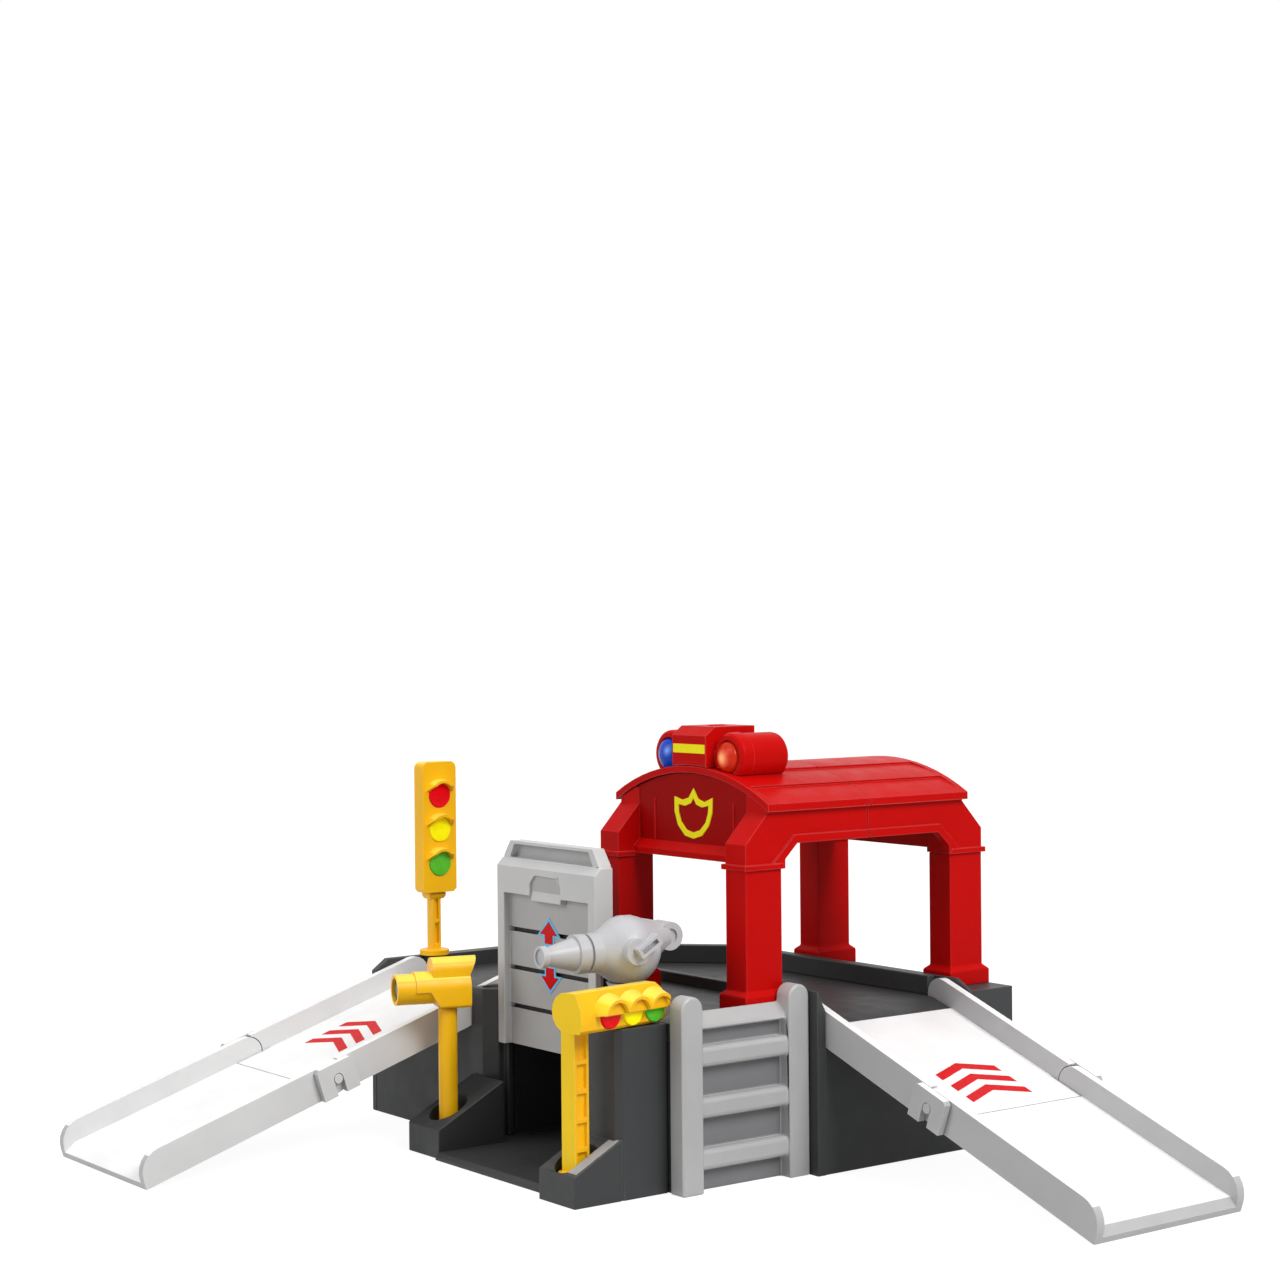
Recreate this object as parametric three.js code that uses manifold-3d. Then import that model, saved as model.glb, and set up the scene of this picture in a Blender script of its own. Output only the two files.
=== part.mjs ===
// Toy fire station: garage, raised lane, two vehicle ramps, canopy, signals, camera and water cannon.
// Lengths are in millimetres, angles in degrees. X runs right along the garage front, Y runs back, Z runs up.
// The working datum is the outer corner of the right front foot on the table. The group is moved at the end so
// that its origin is the middle of the underside of the whole toy.
import * as THREE from 'three';
import { mergeVertices } from 'three/addons/utils/BufferGeometryUtils.js';
import Module from 'manifold-3d';

const wasm = await Module();
wasm.setup();

// Fits that every piece shares
const GAP = 0.3;
const OVER = 1;
const PIN_PLAY = 0.1;

// Ramp channel: the rails of both ramps carry on the lines of the lane's kerb and parapets
const CHANNEL = 58;
const RAIL = 3;
const RAIL_TALL = 11;
const RAMP_FLOOR = 2;
const FLOOR_BELOW_AXIS = 1.6;
const PIVOT_PIN_R = 2;
const PIVOT_PIN_LONG = 2.2;

// Station base
const DECK_TOP = 53;
const DECK_THICK = 5.5;
const DECK_SKIN = 2.5;
const LANE_DROP = 3;
const LANE_THICK = 2.5;
const FLOOR_PLATE = 2.5;
const WALL = 3;
const SKIN = 2.8;
const FRONT_SET = 32.5;
const DECK_BACK = 90.5;
const RIGHT_REACH = 12.4;
const DECK_RIGHT = 1.7;
const PARAPET = 4.5;
const LEFT_PARAPET = 5.8;
const KERB_TALL = 6.7;
const LEFT_PARAPET_TALL = 5.5;
const CORNER_CUT = 59;
const PLINTH_PAST_POST = 4;
const PLINTH_DEEP = 18.8;

// Left and right front piers and their feet
const PIER_WIDE = 22;
const LEFT_PIER_WIDE = 11;
const PIER_FRONT = 16.8;
const PIER_CORNER = 2.2;
const PIER_BACK = 36;
const PIER_CHAMFER = 4;
const FOOT_WIDE = 19;
const FOOT_LOW = 9.8;
const FOOT_HIGH = 19;
const FOOT_RUN = 18;
const SOCKET_R = 6.6;
const SOCKET_FLOOR = 7;
const LEFT_FOOT_INTO_DOORWAY = 9.1;
const LEFT_FOOT_FRONT = 6;
const SILL_FRONT = 4.6;
const SILL_BEVEL = 1.2;
const CHEEK_THICK = 3.3;
const CHEEK_TALL = 59.5;
const CHEEK_SLOPE = 6.3;
const CHEEK_BACK = 3;
const DISH_R = 4;
const DISH_DEEP = 0.8;

// Ladder on the right side
const LADDER_FRONT = 35.2;
const LADDER_OUT = 8.7;
const LADDER_RAIL = 8.3;
const LADDER_TALL = 61.8;
const LADDER_BACKING = 1.8;
const RUNG_OUT = 7.6;
const RUNG_TALL = 6.6;
const RUNG_LOWEST = 6.9;
const RUNG_PITCH = 16.1;
const RUNG_COUNT = 3;
const SHELF_BELOW_DECK = 2.2;
const SHELF_OUT = 6.5;
const SHELF_LIP = 1.2;
const SHELF_RISE = 3.3;

// Garage door
const DOOR_RECESS = 3.5;
const DOOR_WIDE = 57.3;
const DOOR_THICK = 7.3;
const DOOR_TALL = 69.5;
const DOOR_RAISED = 34.8;
const DOOR_TO_PIER = 16;
const DOOR_HANDLE = 8.4;
const DOOR_HANDLE_INSET = 3.6;
const DOOR_HANDLE_BAR = 1.1;
const DOOR_POCKET_INSET = 4.4;
const DOOR_POCKET_LEAN = 2.6;
const DOOR_BEVEL = 2.4;
const DOOR_FRAME = 4;
const DOOR_PANEL_TOP = 9.2;
const DOOR_PANEL_DEEP = 2.8;
const DOOR_SLOT_TALL = 1.4;
const DOOR_SLOT_DEEP = 1.6;
const DOOR_SLOT_PITCH = 13.05;
const DOOR_SLOT_FIRST = 12.5;
const DOOR_SLOT_COUNT = 3;
const DOOR_NOTCH_WIDE = 18;
const DOOR_NOTCH_TALL = 6.8;
const DOOR_NOTCH_CUT = 2.6;
const DOOR_NOTCH_DEEP = 0.9;
const DOOR_EYE_DEEP = 2.6;
const DOOR_TRAVEL = 31.8;
const TONGUE = 2.2;
const TONGUE_THICK = 2;
const TONGUE_BELOW_DECK = 11;

// Water cannon
const CANNON_LEFT = 22;
const CANNON_BACK = 36.5;
const CANNON_AXIS = 73.7;
const CANNON_YAW = -6;
const BALL_R = 11.3;
const SEAT_OUT_R = 6.4;
const SEAT_TALL = 10.6;
const SEAT_FOOT_R = 6.6;
const SEAT_FOOT = 2;
const COLLAR_R = 6.3;
const COLLAR_LONG = 3.7;
const COLLAR_GROOVE = 1;
const COLLAR_START = 11;
const COLLAR_ROOT_R = 8.4;
const COLLAR_ROOT = 7.3;
const NOZZLE_LONG = 9.9;
const NOZZLE_R = 2.8;
const TIP_R = 3.5;
const TIP_LONG = 2.2;
const TIP_BORE_R = 2.6;
const TIP_BORE_DEEP = 0.6;
const COUPLING_R = 4.6;
const COUPLING_WIDE = 8;
const COUPLING_BACK = 14.4;
const COUPLING_UP = 3.8;
const COUPLING_DISH_R = 2.5;
const COUPLING_DISH = 0.8;
const NECK_R = 4.5;
const NECK_ROOT_R = 9.3;
const NECK_ROOT_UP = 2;
const PIVOT_DISC_R = 4.2;
const PIVOT_DISC_OUT = 0.9;
const PIVOT_FRONT = 2.4;
const PIVOT_UP = 0.9;
const LEVER_LONG = 8.6;
const LEVER_WIDE = 3.6;
const LEVER_OUT = 2.6;
const LEVER_BAR = 1;
const LEVER_TILT = 32;

// Canopy
const CANOPY_WIDE = 79;
const CANOPY_FRONT = 68.2;
const CANOPY_DEEP = 105.3;
const POST_WIDE = 10.4;
const POST_DEEP = 15;
const POST_TALL = 45.3;
const POST_LIP = 1.7;
const POST_FOOT = 5;
const POST_FOOT_SLOPE = 1.5;
const CAPITAL = 1.7;
const CAPITAL_LIP = 1;
const FASCIA = 2.5;
const FASCIA_TRIM = 0.8;
const FASCIA_BAND = 2.7;
const OPENING_RISE = 7.9;
const OPENING_RUN = 5.2;
const OPENING_STEP = 3;
const HAUNCH_TALL = 6.6;
const HAUNCH_SLOPE_TALL = 9.6;
const HAUNCH_SLOPE_DEEP = 9;
const GABLE_SET = 9.4;
const GABLE_THICK = 2.5;
const SILL_SET = 6.4;
const SILL_FACE = 2.1;
const SILL_RISE = 2.6;
const SILL_UP = 1.2;
const ROOF_RISE = 10.8;
const ROOF_THICK = 2.2;
const ROOF_EAVE = 1.8;
const ROOF_PEAK = 77.2;
const ROOF_OVERHANG = 1.5;
const PLANK_STEP = 0.8;
const PLANK_HALF = 15;
const PLANK_OUTER_HALF = 30.2;
const PLANK_RIM = 2.2;
const PLANK_STEPS = 5;
const ARC_STEPS = 16;
const BALL_STEPS = 22;
const NOSE_STEPS = 3;
const CORNER_STEPS = 4;
const EDGE_STEPS = 3;
const FOOT_STEPS = 6;
const END_STEPS = 10;
const SMALL_STEPS = 16;
const PIN_STEPS = 20;
const FINE_STEPS = 28;
const DOME_STEPS = 4;
const MID_STEPS = 24;

// Lamp unit on the roof
const LAMP_BOX_WIDE = 18;
const LAMP_BOX_FRONT = 76.4;
const LAMP_BOX_DEEP = 21.1;
const LAMP_BOX_TOP = 13.2;
const LAMP_BOX_BEVEL_BACK = 4;
const LAMP_BOX_BEVEL_UP = 3;
const LAMP_SKIN = 1.8;
const BARREL_OUT = 16;
const BARREL_R = 8.2;
const BARREL_AXIS = 3.3;
const BARREL_FRONT = 80;
const BARREL_LONG = 21;
const BARREL_RING = 5;
const BARREL_ROUND = 2.4;
const BARREL_NOSE = 2;
const BEZEL_R = 5.6;
const BEZEL_CHAMFER = 0.4;
const LENS_SET = 0.6;
const LENS_THICK = 1.6;
const LENS_DOME = 2.8;
const LED_R = 1.5;
const LED_LONG = 11;
const BUTTON_R = 3;
const BUTTON_OUT = 0.3;
const BUTTON_EDGE = 0.3;
const BUTTON_STEM_R = 1.6;
const BUTTON_FLANGE_R = 3.8;
const BUTTON_FLANGE = 0.8;
const BUTTON_TRAVEL = 1.2;
const BUTTON_BACK = 12;
const BOARD_DEEP = 13;
const BOARD_THICK = 1;
const BOARD_BELOW_TOP = 6.2;
const CELL_R = 6.1;
const CELL_THICK = 2;
const HATCH_WIDE = 13;
const HATCH_DEEP = 13;
const HATCH_THICK = 1.4;

// Signals
const SIGNAL_HEAD_TALL = 48.5;
const SIGNAL_HEAD_WIDE = 14.5;
const SIGNAL_HEAD_DEEP = 6;
const SIGNAL_FACE_OUT = 4.5;
const SIGNAL_ROUND = 2.4;
const SIGNAL_LENS_R = 4.5;
const SIGNAL_LENS_THICK = 1.2;
const SIGNAL_LENS_SINK = 0.6;
const SIGNAL_LENS_PITCH = 12.65;
const SIGNAL_LENS_DOWN = 12.5;
const HOOD_THICK = 1.2;
const TALL_HOOD_FLARE = 0.5;
const TALL_HOOD_OUT = 3.2;
const TALL_HOOD_LIFT = 4.2;
const LOW_HOOD_OUT = 4;
const LOW_HOOD_SHORT = 1.8;
const LOW_HOOD_LIFT = 1;
const LOW_HOOD_FLARE = 1.6;
const TALL_POST_WIDE = 3.6;
const TALL_POST_DEEP = 3.9;
const TALL_POST = 23.5;
const TALL_POST_INSET = 3.6;
const SIGNAL_COLLAR = 2.3;
const SIGNAL_COLLAR_WIDE = 7.2;
const SIGNAL_COLLAR_DEEP = 5.7;
const SIGNAL_COLLAR_TAPER = 0.6;
const TALL_POST_BACK = 57.5;
const FLANGE_R = 5.5;
const FLANGE = 2;
const RIB_SIDE = 1;
const RIB_PITCH = 9;
const RIB_BAR = 1.4;
const RIB_DEEP = 1.2;
const LOW_POST_WIDE = 6;
const LOW_POST_LEFT = 9;
const LOW_POST_BACK = 7;
const LOW_HEAD_LONG = 36.7;
const LOW_HEAD_TALL = 12.3;
const LOW_HEAD_DEEP = 13;
const LOW_HEAD_CHEEK = 6.9;
const LOW_HEAD_SLANT = 2.6;
const LOW_HEAD_END_CUT = 3;
const LOW_HEAD_FRONT = 7.7;
const LOW_HEAD_OUT = 11;
const LOW_LENS_R = 4.1;
const LOW_LENS_FIRST = 12.4;
const LOW_LENS_PITCH = 9.6;
const LOW_LENS_UP = 4.6;
const LOW_YAW = 8;

// Surveillance camera
const CAMERA_BACK = 16;
const CAMERA_POST_R = 3.2;
const CAMERA_POST_TOP = 48.6;
const CAMERA_YAW = -17;
const CAMERA_BODY_WIDE = 11.6;
const CAMERA_BODY_TALL = 12.4;
const CAMERA_BODY_FRONT = 12;
const CAMERA_BODY_BACK = 7;
const CAMERA_BODY_ROUND = 1.5;
const CAMERA_CHIN_UP = 5.9;
const CAMERA_CHIN_FRONT = 7.2;
const CAMERA_CHIN_BACK = 3.3;
const CAMERA_AXIS = 6.6;
const CAMERA_BARREL_R = 5.2;
const CAMERA_BARREL_FRONT = 18.4;
const CAMERA_GLASS_R = 3.9;
const CAMERA_GLASS_THICK = 1.4;
const CAMERA_GLASS_SET = 1;
const CAMERA_HOOD_HALF = 4.2;
const CAMERA_HOOD_FRONT = 6;
const CAMERA_HOOD_FOOT = 6.8;
const CAMERA_HOOD_BACK = 9.7;
const CAMERA_HOOD_LOW = 10.6;
const CAMERA_HOOD_TOP = 17;

// Ramps
const RIGHT_PIVOT_X = 1.1;
const RIGHT_PIVOT_DOWN = 2.1;
const RIGHT_SLOPE = 19.7;
const RIGHT_UPPER = 64.2;
const LEFT_PIVOT_Y = 47.7;
const LEFT_PIVOT_DOWN = 2.9;
const LEFT_SLOPE = 17.85;
const LEFT_UPPER = 72.9;
const LANE_TO_FLOOR = 6.6;
const CLIP_LONG = 14;
const CLIP_OUT = 2.8;
const CLIP_PIN_R = 1.6;
const CLIP_PIN_PLAY = 0.25;
const HORN = 3;
const TONGUE_PAST_PIN = 5;
const FOOT_ROUND = 8;

// Screws under the base
const SCREW_HEAD_R = 2.8;
const SCREW_HEAD = 1.4;
const SCREW_DRIVE = 3.4;
const SCREW_R = 1.3;
const SCREW_LONG = 9;
const BOSS_R = 3.6;
const BOSS_TALL = 14;
const SCREW_BACK = 100;

// Levels and edges worked out from the sizes above
const laneTop = DECK_TOP - LANE_DROP;
const laneUnder = laneTop - LANE_THICK;
const deckUnder = DECK_TOP - DECK_THICK;
const rampWide = CHANNEL + 2 * RAIL;
const railR = RAIL_TALL / 2;

const doorRight = -PIER_WIDE - DOOR_TO_PIER;
const doorLeft = doorRight - DOOR_WIDE;
const garageLeft = doorLeft - GAP;
const garageRight = doorRight + GAP;
const leftFootRight = garageLeft + LEFT_FOOT_INTO_DOORWAY;
const cameraX = leftFootRight - FOOT_WIDE / 2;

const deckLeft = garageLeft - LEFT_PIER_WIDE;
const leftRampRight = deckLeft - GAP;
const leftRampLeft = leftRampRight - rampWide;
const leftRampMiddle = (leftRampLeft + leftRampRight) / 2;
const leftInner = leftRampLeft - GAP;
const left = leftInner - SKIN;
const parapetInner = left + LEFT_PARAPET;

const rightRampFront = DECK_BACK + GAP;
const rightRampBack = rightRampFront + rampWide;
const rightRampMiddle = (rightRampFront + rightRampBack) / 2;
const laneFront = rightRampFront + RAIL;
const laneBack = rightRampBack - RAIL + GAP;
const backOuter = laneBack + PARAPET;
const baseBack = backOuter + PLINTH_DEEP;

const frontInner = FRONT_SET + WALL;
const doorFront = FRONT_SET + DOOR_RECESS;
const doorBack = doorFront + DOOR_THICK;
const slotBack = doorBack + GAP;
const tongueFront = doorFront + (DOOR_THICK - TONGUE_THICK) / 2;
const tongueTop = DECK_TOP - TONGUE_BELOW_DECK;

const rightPivotZ = DECK_TOP - RIGHT_PIVOT_DOWN;
const leftPivotZ = DECK_TOP - LEFT_PIVOT_DOWN;
const railEndX = RIGHT_PIVOT_X - railR - GAP;
const railEndY = LEFT_PIVOT_Y + railR + GAP;

const finishes = {
  base: finish(0x434445, 0.55),
  lane: finish(0x3c3d3e, 0.6),
  pale: finish(0xc4c4c6, 0.45),
  red: finish(0xd8160f, 0.35),
  yellow: finish(0xf9c61a, 0.35),
  white: finish(0xf2f2f2, 0.4),
  blue: finish(0x2447d8, 0.15),
  clear: finish(0xf2b58c, 0.15),
  stopLens: finish(0xe2100f, 0.3),
  waitLens: finish(0xfff200, 0.3),
  goLens: finish(0x57b53a, 0.3),
  black: finish(0x1b1b1d, 0.3),
  metal: finish(0xb9bcc0, 0.3, 1),
  board: finish(0x2c6e3a, 0.6),
};

function finish(color, roughness, metalness = 0) {
  return new THREE.MeshStandardMaterial({ color, roughness, metalness });
}

function radians(degrees) {
  return THREE.MathUtils.degToRad(degrees);
}

// Turns a closed three.js geometry into a solid that can be joined and cut
function solid(geometry) {
  geometry.deleteAttribute('normal');
  geometry.deleteAttribute('uv');
  const merged = mergeVertices(geometry);
  const corners = merged.index.array;
  const triangles = [];
  for (let i = 0; i < corners.length; i += 3) {
    const [a, b, c] = corners.slice(i, i + 3);
    if (a !== b && b !== c && c !== a) triangles.push(a, b, c);
  }
  return new wasm.Manifold(new wasm.Mesh({
    numProp: 3,
    vertProperties: Float32Array.from(merged.attributes.position.array),
    triVerts: Uint32Array.from(triangles),
  }));
}

function join(...shapes) {
  return shapes.reduce((whole, shape) => whole.add(shape));
}

function cut(shape, ...tools) {
  return tools.reduce((rest, tool) => rest.subtract(tool), shape);
}

function piece(name, shape, material) {
  const out = shape.getMesh();
  const geometry = new THREE.BufferGeometry();
  geometry.setAttribute('position', new THREE.BufferAttribute(out.vertProperties, 3));
  geometry.setIndex(new THREE.BufferAttribute(out.triVerts, 1));
  geometry.computeVertexNormals();
  const mesh = new THREE.Mesh(geometry, material);
  mesh.name = name;
  return mesh;
}

function block([x0, y0, z0], [x1, y1, z1]) {
  const geometry = new THREE.BoxGeometry(x1 - x0, y1 - y0, z1 - z0);
  return solid(geometry.translate((x0 + x1) / 2, (y0 + y1) / 2, (z0 + z1) / 2));
}

function extruded(points, depth) {
  const shape = new THREE.Shape(points.map(([u, v]) => new THREE.Vector2(u, v)));
  return new THREE.ExtrudeGeometry(shape, { depth, bevelEnabled: false, curveSegments: 1 });
}

// Outline in (x, y), raised from z0 to z1
function planPrism(points, z0, z1) {
  return solid(extruded(points, z1 - z0).translate(0, 0, z0));
}

// Outline in (y, z), run along X from x0 to x1
function sidePrism(points, x0, x1) {
  const turn = new THREE.Matrix4().makeBasis(
    new THREE.Vector3(0, 1, 0), new THREE.Vector3(0, 0, 1), new THREE.Vector3(1, 0, 0));
  return solid(extruded(points, x1 - x0).applyMatrix4(turn).translate(x0, 0, 0));
}

// Outline in (x, z), run along Y from y0 to y1
function frontPrism(points, y0, y1) {
  const turn = new THREE.Matrix4().makeBasis(
    new THREE.Vector3(1, 0, 0), new THREE.Vector3(0, 0, 1), new THREE.Vector3(0, -1, 0));
  return solid(extruded(points, y1 - y0).applyMatrix4(turn).translate(0, y1, 0));
}

// Profile of (radius, distance along the axis), turned about X, Y or Z through a point
function turned(profile, axis, [x, y, z], steps = 24) {
  const geometry = new THREE.LatheGeometry(profile.map(([r, t]) => new THREE.Vector2(r, t)), steps);
  if (axis === 'x') geometry.rotateZ(-Math.PI / 2);
  if (axis === 'z') geometry.rotateX(Math.PI / 2);
  return solid(geometry.translate(x, y, z));
}

function rod(radius, from, to, axis, centre, steps = 24) {
  return turned([[0, from], [radius, from], [radius, to], [0, to]], axis, centre, steps);
}

// Points of an arc in a plane, from one angle to another
function arc([u, v], radius, fromDegrees, toDegrees, steps) {
  return Array.from({ length: steps + 1 }, (_, i) => {
    const turn = radians(fromDegrees + ((toDegrees - fromDegrees) * i) / steps);
    return [u + radius * Math.cos(turn), v + radius * Math.sin(turn)];
  });
}

function rectangle(u0, v0, u1, v1) {
  return [[u0, v0], [u1, v0], [u1, v1], [u0, v1]];
}

function placed(group, x, y, z) {
  group.position.set(x, y, z);
  return group;
}

const station = new THREE.Group();

// Base walls
function baseWalls() {
  const outerCut = CORNER_CUT + LEFT_PARAPET + PARAPET - PARAPET * Math.SQRT2;
  const leftEnd = backOuter - outerCut;
  const backStart = left + outerCut;
  const leftWall = cut(
    join(
      block([left, FRONT_SET, 0], [leftInner, leftEnd, laneTop]),
      sidePrism([
        [FRONT_SET, laneTop - OVER], [railEndY, laneTop - OVER], [railEndY, laneTop + LEFT_PARAPET_TALL],
        [FRONT_SET + LEFT_PARAPET_TALL, laneTop + LEFT_PARAPET_TALL], [FRONT_SET, laneTop + WALL / 2],
      ], left, leftInner),
    ),
    rod(PIVOT_PIN_R + PIN_PLAY, left - OVER, leftInner + OVER, 'x', [0, LEFT_PIVOT_Y, leftPivotZ]),
  );
  const cornerWall = planPrism([
    [left, leftEnd], [leftInner, leftEnd], [backStart, backOuter - WALL], [backStart, backOuter],
  ], 0, laneTop);
  const endWallFront = rightRampBack + GAP;
  const backWall = cut(
    join(
      block([backStart, backOuter - WALL, 0], [railEndX, backOuter, laneTop]),
      frontPrism([
        [railEndX - OVER, 0], [RIGHT_REACH, 0], [RIGHT_REACH, DECK_TOP],
        [RIGHT_REACH - KERB_TALL, laneTop + KERB_TALL], [railEndX, laneTop + KERB_TALL], [railEndX, laneTop],
        [railEndX - OVER, laneTop],
      ], endWallFront, backOuter),
    ),
    rod(PIVOT_PIN_R + PIN_PLAY, endWallFront - OVER, backOuter + OVER, 'y', [RIGHT_PIVOT_X, 0, rightPivotZ]),
  );
  const plinthLeft = -CANOPY_WIDE - PLINTH_PAST_POST;
  const plinth = cut(
    block([plinthLeft, backOuter, 0], [RIGHT_REACH, baseBack, DECK_TOP]),
    block([plinthLeft + SKIN, backOuter + SKIN, -OVER],
      [RIGHT_REACH - SKIN, baseBack - SKIN, DECK_TOP - SKIN]),
    rod(PIVOT_PIN_R + PIN_PLAY, backOuter - OVER, backOuter + SKIN + OVER, 'y',
      [RIGHT_PIVOT_X, 0, rightPivotZ]),
  );
  const underRightRail = rightPivotZ - (railR + GAP) / Math.cos(radians(RIGHT_SLOPE))
    - (RIGHT_REACH - RIGHT_PIVOT_X) * Math.tan(radians(RIGHT_SLOPE));
  const rightWall = block([RIGHT_REACH - WALL, DECK_BACK, 0], [RIGHT_REACH, endWallFront, underRightRail]);
  const underLeftRail = leftPivotZ - (railR + GAP) / Math.cos(radians(LEFT_SLOPE))
    - (LEFT_PIVOT_Y - FRONT_SET) * Math.tan(radians(LEFT_SLOPE));
  const pierMiddle = [(deckLeft + garageLeft) / 2, (FRONT_SET + slotBack) / 2, 0];
  const frontWall = cut(
    join(
      block([leftInner, FRONT_SET, 0], [deckLeft + OVER, frontInner, underLeftRail]),
      planPrism([
        [deckLeft, FRONT_SET], [garageLeft - PIER_CHAMFER, FRONT_SET], [garageLeft, FRONT_SET + PIER_CHAMFER],
        [garageLeft, slotBack], [deckLeft, slotBack],
      ], 0, DECK_TOP),
      block([garageLeft - OVER, tongueFront, FLOOR_PLATE],
        [garageLeft + TONGUE, tongueFront + TONGUE_THICK, tongueTop]),
    ),
    rod(DISH_R, DECK_TOP - DISH_DEEP, DECK_TOP + OVER, 'z', pierMiddle),
  );
  const doorPost = join(
    block([garageRight, FRONT_SET, 0], [-PIER_WIDE, slotBack, DECK_TOP]),
    block([garageRight - TONGUE, tongueFront, FLOOR_PLATE],
      [garageRight + OVER, tongueFront + TONGUE_THICK, tongueTop]),
  );
  station.add(
    piece('left_wall', leftWall, finishes.base),
    piece('corner_wall', cornerWall, finishes.base),
    piece('back_wall', backWall, finishes.base),
    piece('rear_plinth', plinth, finishes.base),
    piece('right_wall', rightWall, finishes.base),
    piece('front_wall', frontWall, finishes.base),
    piece('door_post', doorPost, finishes.base),
  );
  return { leftEnd, backStart };
}

// Corner pier with the foot that holds the low signal, and the left foot that holds the camera
function footBlock(x0, x1, y0, y1, socketX, socketY) {
  const rise = (FOOT_HIGH - FOOT_LOW) / FOOT_RUN;
  const top = FOOT_LOW + rise * (y1 - y0);
  return cut(
    sidePrism([[y0, 0], [y1, 0], [y1, top], [y0, FOOT_LOW]], x0, x1),
    rod(SOCKET_R, SOCKET_FLOOR, FOOT_HIGH + FOOT_LOW, 'z', [socketX, socketY, 0]),
  );
}

function piers() {
  const hollow = block([-PIER_WIDE + SKIN, PIER_FRONT + PIER_CORNER + SKIN, -OVER],
    [-SKIN - PIER_CORNER, PIER_BACK - SKIN, DECK_TOP - SKIN]);
  const pier = cut(planPrism([
    [-PIER_WIDE, PIER_FRONT], [-PIER_CORNER, PIER_FRONT], [0, PIER_FRONT + PIER_CORNER], [0, PIER_BACK],
    [-PIER_WIDE, PIER_BACK],
  ], 0, DECK_TOP), hollow);
  const foot = footBlock(-FOOT_WIDE, 0, 0, FOOT_RUN, -LOW_POST_LEFT, LOW_POST_BACK);
  const leftFoot = footBlock(leftFootRight - FOOT_WIDE, leftFootRight, LEFT_FOOT_FRONT, FRONT_SET - GAP,
    cameraX, CAMERA_BACK);
  station.add(
    piece('corner_pier', join(pier, foot), finishes.base),
    piece('left_foot', leftFoot, finishes.base),
  );
}

// Post beside the ladder, with the hole for the ramp's front pivot pin
function cheekPost() {
  const front = DECK_BACK - CHEEK_THICK;
  const post = cut(
    sidePrism([[front, 0], [DECK_BACK, 0], [DECK_BACK, CHEEK_TALL - CHEEK_SLOPE], [front, CHEEK_TALL]],
      -CHEEK_BACK, RIGHT_REACH),
    rod(PIVOT_PIN_R + PIN_PLAY, DECK_BACK - PIVOT_PIN_LONG - GAP, DECK_BACK + OVER, 'y',
      [RIGHT_PIVOT_X, 0, rightPivotZ]),
  );
  station.add(piece('cheek_post', post, finishes.base));
}

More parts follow.
